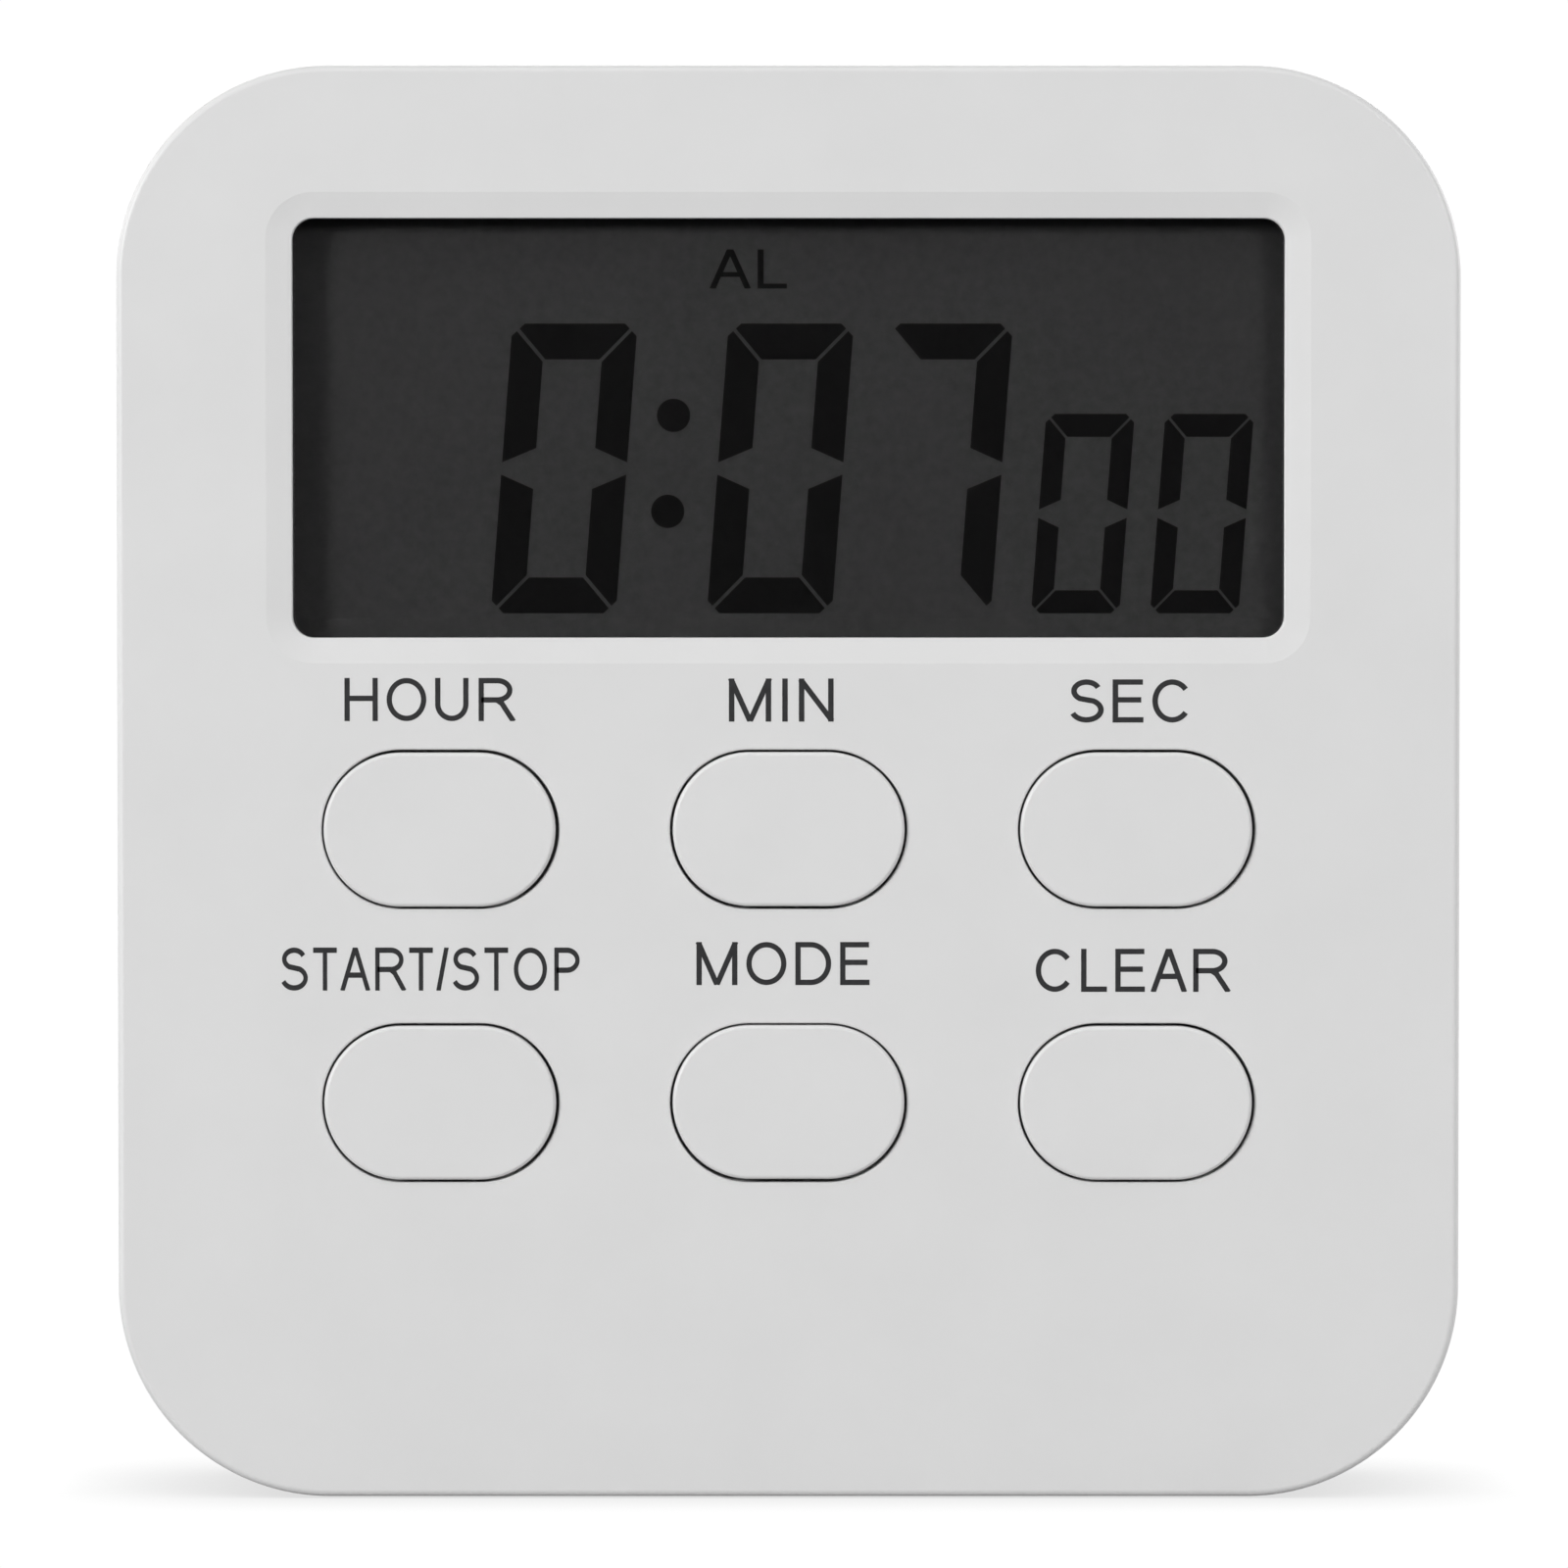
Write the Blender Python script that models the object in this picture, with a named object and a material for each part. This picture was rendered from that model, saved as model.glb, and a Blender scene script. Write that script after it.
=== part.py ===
"""Digital kitchen timer with a segment display, six keys, a fold-out stand and one AAA cell.

Run with:  blender --background --python part.py

Metres, +Z up. The front faces -Y, +X is to the right of someone reading the display, and the
origin is the middle of the foot: x and y are centred on the case, and z = 0 is its flat bottom.
Every object is one physical piece. Depths are y values, so a piece nearer the reader has the
smaller y. Helpers named cut_... and add_... are Boolean tools and aren't part of the timer.
"""

import math

import bmesh
import bpy
from mathutils import Vector

# ---------------------------------------------------------------- driving dimensions
WIDTH, HEIGHT, DEPTH = 0.075, 0.080, 0.016
FRONT, BACK = -DEPTH / 2, DEPTH / 2
MIDDLE = HEIGHT / 2
CORNER_R = 0.0118  # corners of the case, seen from the front
FRONT_EDGE_R = 0.0007
BACK_EDGE_R = 0.0025
WALL = 0.0018
BACK_WALL = 0.0016
SEAM = 0.0002  # gap between the two shells, seen from outside
SEAM_Y = 0.0002  # rear end of the front shell's outer wall
TONGUE = 0.0008  # the front shell's lip, which the rear shell's rim closes over
TONGUE_REACH = 0.0012
FIT = 0.00015  # sideways play of a plastic part in its hole
STACK_GAP = 0.00005  # gap between pieces that rest on each other
MERGE = 0.0003  # how far a boss or rib runs into the wall that it grows from
OVERCUT = 0.001  # how far a cutter passes the surface that it cuts

FRONT_INNER = FRONT + WALL
BACK_INNER = BACK - BACK_WALL

# Keys: three columns and two rows of round-ended caps, nearly flush with the front.
KEY_NAMES = (("start_stop", "mode", "clear"), ("hour", "min", "sec"))
KEY_PITCH_X, KEY_PITCH_Z = 0.01945, 0.0153
KEY_ROW_Z = 0.0221  # centre of the lower row
KEY_HOLE_W, KEY_HOLE_H = 0.01325, 0.0089
KEY_PROUD = 0.0003
KEY_EDGE = 0.0003
KEY_FLANGE = 0.0010  # how far the retaining flange reaches past the hole
KEY_FLANGE_T = 0.0008
KEY_POST_R = 0.0026

# Display: a window in the front, a clear lens behind it, then the liquid crystal cell.
WINDOW_W, WINDOW_H, WINDOW_R = 0.0554, 0.0234, 0.0012
WINDOW_Z = 0.0598
BEVEL_W, BEVEL_DEPTH, BEVEL_R = 0.0014, 0.0003, 0.0020  # shallow bevelled frame round the window
LENS_W, LENS_H, LENS_T = 0.0574, 0.0254, 0.0008
LENS_FRONT = FRONT + 0.0011
GLASS_W, GLASS_T = 0.0580, 0.00055
VIEW_H = 0.0246  # height of the cell's viewing area and of its polarisers
LEDGE = 0.0024  # strip of the front glass that carries the contacts, below the rear glass
POLARISER_T, POLARISER_W = 0.0002, 0.0568
LENS_BACK = LENS_FRONT + LENS_T
FRAME_RIB, FRAME_END = 0.0009, -0.0046  # rib round the glass: its thickness, and the y of its end
STRIP_LOW, STRIP_HEIGHT, STRIP_W = 0.0005, 0.0014, 0.0530  # contact strip, from the glass's lower edge

# Circuit board, behind the display and the keys.
BOARD_FRONT, BOARD_T = -0.0023, 0.0010
BOARD_BACK = BOARD_FRONT + BOARD_T
BOARD_W, BOARD_FOOT, BOARD_TOP = 0.0586, 0.0154, 0.0777
BOARD_SCREWS = ((-0.0097, 0.02975), (0.0097, 0.02975), (-0.018, 0.0760), (0.018, 0.0760))
BOARD_BOSS_R, BOARD_BOSS_HOLE_R = 0.0018, 0.0009
BOARD_SCREW_R, BOARD_HOLE_R = 0.00075, 0.0011

# Silicone keypad on the board: a sheet with one collapsing dome under each key.
SHEET_T = 0.00075
DOME_R, DOME_TOP = 0.0047, -0.0045
DOME_WALL, DOME_SLOPE = 0.0007, 0.0012
PILL_R, PILL_T = 0.0021, 0.0003
PILL_FRONT = -0.0035

# Battery bay along the foot, closed by a door that slides down and off.
CELL_R, CELL_LENGTH = 0.00525, 0.0445
CELL_Y, CELL_Z = 0.00125, 0.00845
CELL_LEFT = -0.0210  # flat end of the cell
SPRING_WIRE_R, SPRING_WIDE_R, SPRING_TIP_R = 0.0003, 0.0033, 0.0021
BAY_LENGTH, BAY_HEIGHT = 0.0500, 0.0109
BAY_WALL = 0.0010
CONTACT_T, CONTACT_REACH = 0.0003, 0.0039  # the reach is from the cell's axis to the plate's edge
TAB_FRONT, TAB_BACK, TAB_RISE = 0.0003, 0.0017, 0.0018  # solder tabs, which rise through the bay's upper wall
DOOR_T = 0.0013
DOOR_W, DOOR_TOP = 0.0526, 0.0152
DOOR_SEAT = BACK - DOOR_T - 0.0001  # y of the ledge that the door slides on
DOOR_RAIL, DOOR_RAIL_T = 0.0010, 0.00045
DOOR_GRIP_W, DOOR_GRIP_H, DOOR_GRIP_DEPTH = 0.0140, 0.0007, 0.0004

# Stand: a flap that lies in the back and swings down about its lower edge.
STAND_W, STAND_LENGTH, STAND_T = 0.0280, 0.0330, 0.0018
STAND_CORNER = 0.0030
STAND_Y, STAND_Z = 0.0069, 0.0195  # hinge axis
STAND_AXLE_R, STAND_AXLE = 0.0006, 0.0009
STAND_PLAY = 0.0003
STAND_PANEL_W, STAND_PANEL_H, STAND_PANEL_DEPTH = 0.0160, 0.0150, 0.0006  # shallow panel in its outer face
NOTCH_R, NOTCH_W, NOTCH_RAISE = 0.0045, 0.0120, 0.0022  # fingernail notch, a cylinder behind the back face

# Two disc magnets in the back, for a refrigerator door.
MAGNET_R, MAGNET_T = 0.0070, 0.0020
MAGNETS, MAGNET_Z = {"left": -0.0190, "right": 0.0190}, 0.0640

# Case screws, driven from the back.
CASE_SCREWS = {"upper_left": (-1, 0.064), "upper_right": (1, 0.064),
               "lower_left": (-1, 0.020), "lower_right": (1, 0.020)}
CASE_SCREW_X = 0.0322
CASE_SCREW_R, CASE_HEAD_R = 0.00095, 0.0019
CASE_BOSS_R, CASE_BOSS_HOLE_R, CASE_BOSS_END = 0.0023, 0.0011, 0.0
CASE_POST_R, CASE_HOLE_R, CASE_COUNTERBORE_R = 0.0030, 0.0012, 0.0021
CASE_SEAT = 0.0050  # y of the ledge that the screw heads press on

# Sounder: a brass disc on a ring moulded in the rear shell.
SOUNDER_X, SOUNDER_Z, SOUNDER_R, SOUNDER_T = 0.0260, 0.0380, 0.0080, 0.00025
SOUNDER_SEAT = 0.0044  # y of the ring's end
SOUNDER_FRONT = SOUNDER_SEAT - SOUNDER_T - STACK_GAP
CERAMIC_R, CERAMIC_T = 0.0055, 0.0002
VENT_R, VENT_SPREAD = 0.0007, 0.0030

WIRE_R = 0.00045

CORNER_STEPS = 8  # facets in a quarter turn of the case's corners
KEY_STEPS = 6
ROUND_STEPS = 4  # facets in a quarter turn of small round pieces


# ---------------------------------------------------------------- outlines and meshes
def rounded_box(width, height, radius, steps=ROUND_STEPS, centre=(0, 0)):
    """Outline of a rectangle with round corners, anticlockwise. A radius of half a side makes a round end."""
    radius = min(radius, width / 2, height / 2)
    points = []
    for quarter, (side, level) in enumerate(((1, 1), (-1, 1), (-1, -1), (1, -1))):
        for step in range(steps + 1):
            angle = math.radians(90 * (quarter + step / steps))
            points.append((centre[0] + side * (width / 2 - radius) + radius * math.cos(angle),
                           centre[1] + level * (height / 2 - radius) + radius * math.sin(angle)))
    return points


def circle(radius, steps=ROUND_STEPS, centre=(0, 0)):
    return rounded_box(2 * radius, 2 * radius, radius, steps, centre)


def arch(width, low, high, radius):
    """Outline of a rectangle about u = 0 whose upper corners are round and lower corners are square."""
    upper = rounded_box(width, 2 * radius, radius, ROUND_STEPS, (0, high - radius))[:2 * (ROUND_STEPS + 1)]
    return [*upper, (-width / 2, low), (width / 2, low)]


def cross(tip, root):
    """Outline of a cross-head recess: the tips of its arms are at one radius, the corners at the other."""
    radii = (tip, tip, root) * 4
    turns = [math.radians(30 * i - 15) for i in range(12)]
    return [(r * math.cos(turn), r * math.sin(turn)) for r, turn in zip(radii, turns)]


def place(u, v, depth, axis):
    """A point of an outline at this depth. Outlines are (x, z) along axis Y and (y, z) along axis X."""
    return {"X": (depth, u, v), "Y": (u, depth, v)}[axis]


def loft(name, sections, axis="Y", ring=False):
    """A closed mesh through (outline, depth) sections of equal point counts, capped at both ends.

    Depths may turn back, which makes a cup, and two sections at one depth make a step. With ring set
    the last section joins the first one, which makes a frame with a hole through it.
    """
    mesh = bmesh.new()
    rows = [[mesh.verts.new(place(u, v, depth, axis)) for u, v in outline] for outline, depth in sections]
    pairs = list(zip(rows, rows[1:])) + ([(rows[-1], rows[0])] if ring else [])
    for row, after in pairs:
        for i in range(len(row)):
            j = (i + 1) % len(row)
            mesh.faces.new((row[i], row[j], after[j], after[i]))
    if not ring:
        mesh.faces.new(rows[0])
        mesh.faces.new(rows[-1])
    bmesh.ops.remove_doubles(mesh, verts=mesh.verts, dist=1e-6)
    bmesh.ops.recalc_face_normals(mesh, faces=mesh.faces)
    data = bpy.data.meshes.new(name)
    mesh.to_mesh(data)
    mesh.free()
    data.shade_smooth()
    data.set_sharp_from_angle(angle=math.radians(30))
    return data


def prism(name, outline, start, end, axis="Y"):
    return loft(name, [(outline, start), (outline, end)], axis)


def block(name, low, high):
    """A plain box between two corners."""
    outline = [(low[0], low[2]), (high[0], low[2]), (high[0], high[2]), (low[0], high[2])]
    return prism(name, outline, low[1], high[1])


def edge_round(radius, face, inward, steps):
    """(inset, depth) pairs of a rounded edge, from the flat face round to the side wall."""
    turns = [math.pi / 2 * i / steps for i in range(steps + 1)]
    return [(radius * (1 - math.sin(a)), face + inward * radius * (1 - math.cos(a))) for a in turns]


def case_section(inset, depth):
    """The case's outline, drawn in by inset, at this depth."""
    outline = rounded_box(WIDTH - 2 * inset, HEIGHT - 2 * inset, CORNER_R - inset, CORNER_STEPS, (0, MIDDLE))
    return outline, depth


# ---------------------------------------------------------------- objects
def material(name, colour, roughness, metallic=0.0, alpha=1.0):
    made = bpy.data.materials.new(name)
    made.use_nodes = True
    shader = made.node_tree.nodes["Principled BSDF"]
    shader.inputs["Base Color"].default_value = (*colour, 1)
    shader.inputs["Roughness"].default_value = roughness
    shader.inputs["Metallic"].default_value = metallic
    shader.inputs["Alpha"].default_value = alpha
    made.diffuse_color = (*colour, alpha)
    return made


def add(name, data, stuff, parent, location=(0, 0, 0)):
    """Puts a mesh or curve in the scene as one named piece. Location is in the parent's space."""
    made = bpy.data.objects.new(name, data)
    bpy.context.scene.collection.objects.link(made)
    if stuff and not data.materials:
        data.materials.append(stuff)
    made.location = location
    made.parent = parent
    return made


def helper(name, data, parent, location=(0, 0, 0)):
    """A Boolean tool: shown as wire, and never rendered."""
    made = add(name, data, None, parent, location)
    made.hide_render = True
    made.display_type = "WIRE"
    return made


def combine(target, operation, tools):
    for tool in tools:
        modifier = target.modifiers.new(tool.name, "BOOLEAN")
        modifier.operation = operation
        modifier.object = tool
        modifier.solver = "EXACT"


def cut(target, *tools):
    combine(target, "DIFFERENCE", tools)


def join(target, *tools):
    combine(target, "UNION", tools)


def blind_boss(name, radius, hole_radius, base, end, hole_end):
    """A boss that stands from base to end, with a blind hole from its end as deep as hole_end."""
    outer, hole = circle(radius, 3), circle(hole_radius, 3)
    return loft(name, [(outer, base), (outer, end), (hole, end), (hole, hole_end)])


def screw(name, head_r, head_t, shank_r, length):
    """A pan-head screw that points to -Y, with the underside of its head at the origin."""
    outlines = [(0.3 * shank_r, -length), (shank_r, 2 * shank_r - length), (shank_r, 0), (head_r, 0),
                (head_r, 0.5 * head_t), (0.7 * head_r, head_t)]
    recess = [(cross(0.55 * head_r, 0.2 * head_r), head_t),
              (cross(0.4 * head_r, 0.15 * head_r), 0.4 * head_t)]
    return loft(name, [(cross(r, r), depth) for r, depth in outlines] + recess)


def tube(name, points, radius, stuff, parent):
    """A round wire through these points, as a bevelled curve with closed ends."""
    curve = bpy.data.curves.new(name, "CURVE")
    curve.dimensions = "3D"
    curve.bevel_depth = radius
    curve.bevel_resolution = 1
    curve.use_fill_caps = True
    spline = curve.splines.new("POLY")
    spline.points.add(len(points) - 1)
    for point, at in zip(spline.points, points):
        point.co = (*at, 1)
    return add(name, curve, stuff, parent)


def smooth_line(points, pieces):
    """Catmull-Rom points through the given ones, each stretch in this many pieces."""
    ends = [Vector(p) for p in points]
    ends = [2 * ends[0] - ends[1], *ends, 2 * ends[-1] - ends[-2]]
    found = []
    for before, a, b, after in zip(ends, ends[1:], ends[2:], ends[3:]):
        for step in range(pieces):
            t = step / pieces
            found.append(0.5 * (2 * a + (b - before) * t + (2 * before - 5 * a + 4 * b - after) * t * t
                                + (3 * a - before - 3 * b + after) * t ** 3))
    return [*found, ends[-2]]


# ---------------------------------------------------------------- casing
def key_places():
    """(name, x, z) of each key's centre, lower row first."""
    for row, names in enumerate(KEY_NAMES):
        for column, name in enumerate(names):
            yield name, (column - 1) * KEY_PITCH_X, KEY_ROW_Z + row * KEY_PITCH_Z


def make_front_shell(stuff, root):
    """The moulded front: face, side wall and the tongue that enters the rear shell."""
    tongue_end = SEAM_Y + TONGUE_REACH
    sections = [case_section(*pair) for pair in edge_round(FRONT_EDGE_R, FRONT, 1, 3)]
    sections += [case_section(0, SEAM_Y), case_section(WALL - TONGUE, SEAM_Y),
                 case_section(WALL - TONGUE, tongue_end), case_section(WALL, tongue_end),
                 case_section(WALL, FRONT_INNER)]
    shell = add("front_shell", loft("front_shell", sections), stuff, root)

    root_y = FRONT_INNER - MERGE
    board_boss = blind_boss("board_boss", BOARD_BOSS_R, BOARD_BOSS_HOLE_R, root_y,
                            BOARD_FRONT - 2 * STACK_GAP, FRONT_INNER + 0.0004)
    case_boss = blind_boss("case_boss", CASE_BOSS_R, CASE_BOSS_HOLE_R, root_y, CASE_BOSS_END,
                           FRONT_INNER + 0.0008)
    join(shell, helper("add_cell_frame", cell_frame(), root))
    join(shell, *[helper(f"add_board_boss_{i}", board_boss, root, (x, 0, z))
                  for i, (x, z) in enumerate(BOARD_SCREWS, 1)])
    join(shell, *[helper(f"add_case_boss_{corner}", case_boss, root, (side * CASE_SCREW_X, 0, z))
                  for corner, (side, z) in CASE_SCREWS.items()])

    rebate = rounded_box(LENS_W + 0.0004, LENS_H + 0.0004, 0.0008, ROUND_STEPS, (0, WINDOW_Z))
    cut(shell, helper("cut_window", window_cutter(), root),
        helper("cut_lens_rebate", prism("rebate", rebate, LENS_FRONT - 0.0001, FRONT_INNER + 0.0005), root))
    hole_outline = rounded_box(KEY_HOLE_W, KEY_HOLE_H, KEY_HOLE_H, KEY_STEPS)
    hole = prism("key_hole", hole_outline, -OVERCUT, WALL + 0.0005)
    cut(shell, *[helper(f"cut_{name}_hole", hole, root, (x, FRONT, z)) for name, x, z in key_places()])
    return shell


def window_cutter():
    """The window's opening, with a shallow bevelled frame round it."""
    middle, above = (0, WINDOW_Z), 0.0002
    spread = 2 * BEVEL_W * (BEVEL_DEPTH + above) / BEVEL_DEPTH
    window = rounded_box(WINDOW_W, WINDOW_H, WINDOW_R, ROUND_STEPS, middle)
    mouth = rounded_box(WINDOW_W + spread, WINDOW_H + spread, BEVEL_R, ROUND_STEPS, middle)
    return loft("window", [(mouth, FRONT - above), (window, FRONT + BEVEL_DEPTH),
                           (window, FRONT_INNER + OVERCUT)])


def cell_frame():
    """The rib that locates the liquid crystal cell on the inside of the front."""
    low, high = cell_span()
    inner_w, inner_h, centre = GLASS_W + 0.0004, high - low + 0.0004, (0, (low + high) / 2)
    inner = rounded_box(inner_w, inner_h, 0.0003, 1, centre)
    outer = rounded_box(inner_w + 2 * FRAME_RIB, inner_h + 2 * FRAME_RIB, 0.0012, 1, centre)
    base = FRONT_INNER - MERGE
    sections = [(outer, base), (outer, FRAME_END), (inner, FRAME_END), (inner, base)]
    return loft("cell_frame", sections, ring=True)


def cell_span():
    """Lowest and highest z of the front glass."""
    return WINDOW_Z - VIEW_H / 2 - LEDGE, WINDOW_Z + VIEW_H / 2


def make_rear_shell(stuff, root):
    """The moulded back, with the battery bay, the stand's recess and the seats behind it."""
    start = SEAM_Y + SEAM
    rim = WALL - TONGUE - FIT
    rebate_end = SEAM_Y + TONGUE_REACH + MERGE
    sections = [case_section(*pair) for pair in edge_round(BACK_EDGE_R, BACK, -1, 4)]
    sections += [case_section(0, start), case_section(rim, start), case_section(rim, rebate_end),
                 case_section(WALL, rebate_end), case_section(WALL, BACK_INNER)]
    shell = add("rear_shell", loft("rear_shell", sections), stuff, root)
    add_bay(shell, root)
    add_stand_recess(shell, root)
    add_magnet_pockets(shell, root)
    add_case_screw_seats(shell, root)
    add_sounder_seat(shell, root)
    return shell


def add_bay(shell, root):
    """The trough that holds the cell, with slots in its upper wall for the contacts' solder tabs."""
    half, low, high = BAY_LENGTH / 2, CELL_Z - BAY_HEIGHT / 2, CELL_Z + BAY_HEIGHT / 2
    outer_x, outer_high = half + BAY_WALL, high + BAY_WALL
    floor = CELL_Y - CELL_R - 0.0002
    rebate = SEAM_Y + TONGUE_REACH + MERGE  # in front of this the front shell's tongue passes below the bay
    tray = block("bay", (-outer_x, floor - BAY_WALL, low - BAY_WALL), (outer_x, rebate + OVERCUT, outer_high))
    foot = block("bay_foot", (-outer_x, rebate + 0.0006, WALL - 0.0008),
                 (outer_x, DOOR_SEAT - MERGE, outer_high))
    join(shell, helper("add_bay", tray, root), helper("add_bay_foot", foot, root))
    add_door_rails(shell, outer_x, root)
    cut(shell, helper("cut_trough", block("trough", (-half, floor, low), (half, BACK + OVERCUT, high)), root))
    cut_door_opening(shell, root)
    for side, word in ((-1, "left"), (1, "right")):
        near, far = sorted((side * (half - 0.0008), side * (half - 0.0001)))
        slot = block("slot", (near, TAB_FRONT - MERGE, high - MERGE),
                     (far, TAB_BACK + MERGE, outer_high + OVERCUT))
        cut(shell, helper(f"cut_tab_slot_{word}", slot, root))


def add_door_rails(shell, start_x, root):
    """Thick places beside the bay, for the door's grooves."""
    for side, word in ((-1, "left"), (1, "right")):
        near, far = sorted((side * (start_x - MERGE), side * 0.0290))
        rail = block("rail", (near, 0.0050, WALL - 0.0007), (far, DOOR_SEAT, DOOR_TOP + 0.0014))
        join(shell, helper(f"add_rail_{word}", rail, root))


def cut_door_opening(shell, root):
    """The opening that the door closes, down to and round the foot's edge, and the grooves for its rails."""
    edge, behind, ledge = DOOR_W / 2 + FIT, BACK + OVERCUT, 0.0024
    profile = [(DOOR_SEAT, ledge), (BACK - BACK_EDGE_R, ledge), (BACK - BACK_EDGE_R, -OVERCUT),
               (behind, -OVERCUT), (behind, DOOR_TOP + FIT), (DOOR_SEAT, DOOR_TOP + FIT)]
    groove = block("groove", (-edge - DOOR_RAIL, DOOR_SEAT, -OVERCUT),
                   (edge + DOOR_RAIL, DOOR_SEAT + DOOR_RAIL_T + 0.00025, DOOR_TOP - 0.0006))
    cut(shell, helper("cut_door_opening", prism("opening", profile, -edge, edge, "X"), root),
        helper("cut_rail_grooves", groove, root))


def add_stand_recess(shell, root):
    """The pocket that the stand folds into, its hinge holes and a notch for a fingernail."""
    side, floor = STAND_W / 2 + STAND_PLAY, STAND_Y - STAND_T / 2 - 0.0004
    low, high = STAND_Z - 0.0013, STAND_Z + STAND_LENGTH + STAND_PLAY
    seat = block("stand_seat", (-side - 0.0020, floor - BACK_WALL, low - BACK_WALL),
                 (side + 0.0020, BACK_INNER + MERGE, high + 0.0052))
    join(shell, helper("add_stand_seat", seat, root))
    recess = prism("stand_recess", arch(2 * side, low, high, STAND_CORNER), floor, BACK + OVERCUT)
    holes_end = side + STAND_AXLE + MERGE
    holes = prism("hinge_holes", circle(STAND_AXLE_R + FIT), -holes_end, holes_end, "X")
    notch = prism("nail_notch", circle(NOTCH_R, 6), -NOTCH_W / 2, NOTCH_W / 2, "X")
    cut(shell, helper("cut_stand_recess", recess, root),
        helper("cut_hinge_holes", holes, root, (0, STAND_Y, STAND_Z)),
        helper("cut_nail_notch", notch, root, (0, BACK + NOTCH_RAISE, high + 0.0004)))


def add_magnet_pockets(shell, root):
    """Round cups in the back for the magnets."""
    floor = BACK - MAGNET_T - 0.0002
    seat = prism("magnet_seat", circle(MAGNET_R + 0.0014, 6), floor - 0.0013, BACK_INNER + MERGE)
    pocket = prism("magnet_pocket", circle(MAGNET_R + FIT, 6), floor, BACK + OVERCUT)
    places = {word: (x, 0, MAGNET_Z) for word, x in MAGNETS.items()}
    join(shell, *[helper(f"add_magnet_seat_{word}", seat, root, at) for word, at in places.items()])
    cut(shell, *[helper(f"cut_magnet_pocket_{word}", pocket, root, at) for word, at in places.items()])


def add_case_screw_seats(shell, root):
    """Posts that meet the front shell's bosses, each with a counterbored hole from the back."""
    post = prism("screw_post", circle(CASE_POST_R), CASE_BOSS_END + MERGE, BACK_INNER + MERGE)
    shank, head = circle(CASE_HOLE_R), circle(CASE_COUNTERBORE_R)
    bore = loft("screw_bore", [(shank, -OVERCUT), (shank, CASE_SEAT), (head, CASE_SEAT),
                               (head, BACK + OVERCUT)])
    places = {corner: (side * CASE_SCREW_X, 0, z) for corner, (side, z) in CASE_SCREWS.items()}
    join(shell, *[helper(f"add_screw_post_{corner}", post, root, at) for corner, at in places.items()])
    cut(shell, *[helper(f"cut_screw_bore_{corner}", bore, root, at) for corner, at in places.items()])


def add_sounder_seat(shell, root):
    """A ring that carries the sounder's rim, round a group of vents that let the sound out."""
    outer, inner, base = circle(SOUNDER_R + 0.0004, 6), circle(SOUNDER_R - 0.0010, 6), BACK_INNER + MERGE
    ring = loft("sounder_ring", [(outer, base), (outer, SOUNDER_SEAT), (inner, SOUNDER_SEAT), (inner, base)],
                ring=True)
    join(shell, helper("add_sounder_ring", ring, root, (SOUNDER_X, 0, SOUNDER_Z)))
    vent = prism("vent", circle(VENT_R, 3), BACK_INNER - OVERCUT, BACK + OVERCUT)
    turns = [math.radians(60 * i) for i in range(6)]
    places = [(0, 0)] + [(VENT_SPREAD * math.cos(turn), VENT_SPREAD * math.sin(turn)) for turn in turns]
    cut(shell, *[helper(f"cut_vent_{i}", vent, root, (SOUNDER_X + x, 0, SOUNDER_Z + z))
                 for i, (x, z) in enumerate(places, 1)])


def make_battery_door(stuff, root):
    """The sliding door: a plate that follows the rounded lower edge, with a rail on each side."""
    centre_y, turns = BACK - BACK_EDGE_R, [math.radians(a) for a in (0, 22, 44, 66, 84)]

    def arc(radius):
        return [(centre_y + radius * math.cos(a), BACK_EDGE_R - radius * math.sin(a)) for a in turns]

    half = DOOR_W / 2
    profile = [(BACK - DOOR_T, DOOR_TOP), (BACK, DOOR_TOP), *arc(BACK_EDGE_R),
               *reversed(arc(BACK_EDGE_R - DOOR_T))]
    door = add("battery_door", prism("battery_door", profile, -half, half, "X"), stuff, root)
    rail_x, rail_y = half + DOOR_RAIL - FIT, BACK - DOOR_T + 0.0001
    rails = block("door_rails", (-rail_x, rail_y, 0.0008), (rail_x, rail_y + DOOR_RAIL_T, DOOR_TOP - 0.0010))
    join(door, helper("add_door_rails", rails, root))
    grip = block("door_grip", (-DOOR_GRIP_W / 2, BACK - DOOR_GRIP_DEPTH, -DOOR_GRIP_H / 2),
                 (DOOR_GRIP_W / 2, BACK + OVERCUT, DOOR_GRIP_H / 2))
    cut(door, *[helper(f"cut_door_grip_{i}", grip, root, (0, 0, 0.0048 + 0.0016 * i)) for i in range(4)])
    return door


def make_kickstand(stuff, root):
    """The stand, with its origin on the hinge axis, its free end upwards and a full round below the axis."""
    half, t = STAND_W / 2, STAND_T / 2
    sections = []
    for turn in (0, 25, 50, 70, 90, 110, 130, 155, 180):
        level = -t * math.sin(math.radians(turn))
        sections.append((arch(STAND_W, level, STAND_LENGTH, STAND_CORNER), -t * math.cos(math.radians(turn))))
    stand = add("kickstand", loft("kickstand", sections), stuff, root, (0, STAND_Y, STAND_Z))
    axle = prism("stand_axle", circle(STAND_AXLE_R), -half - STAND_AXLE, half + STAND_AXLE, "X")
    join(stand, helper("add_stand_axle", axle, stand))
    outline = rounded_box(STAND_PANEL_W, STAND_PANEL_H, 0.0020, ROUND_STEPS, (0, STAND_LENGTH * 0.46))
    panel = prism("stand_panel", outline, t - STAND_PANEL_DEPTH, t + OVERCUT)
    cut(stand, helper("cut_stand_panel", panel, stand))
    return stand


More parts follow.
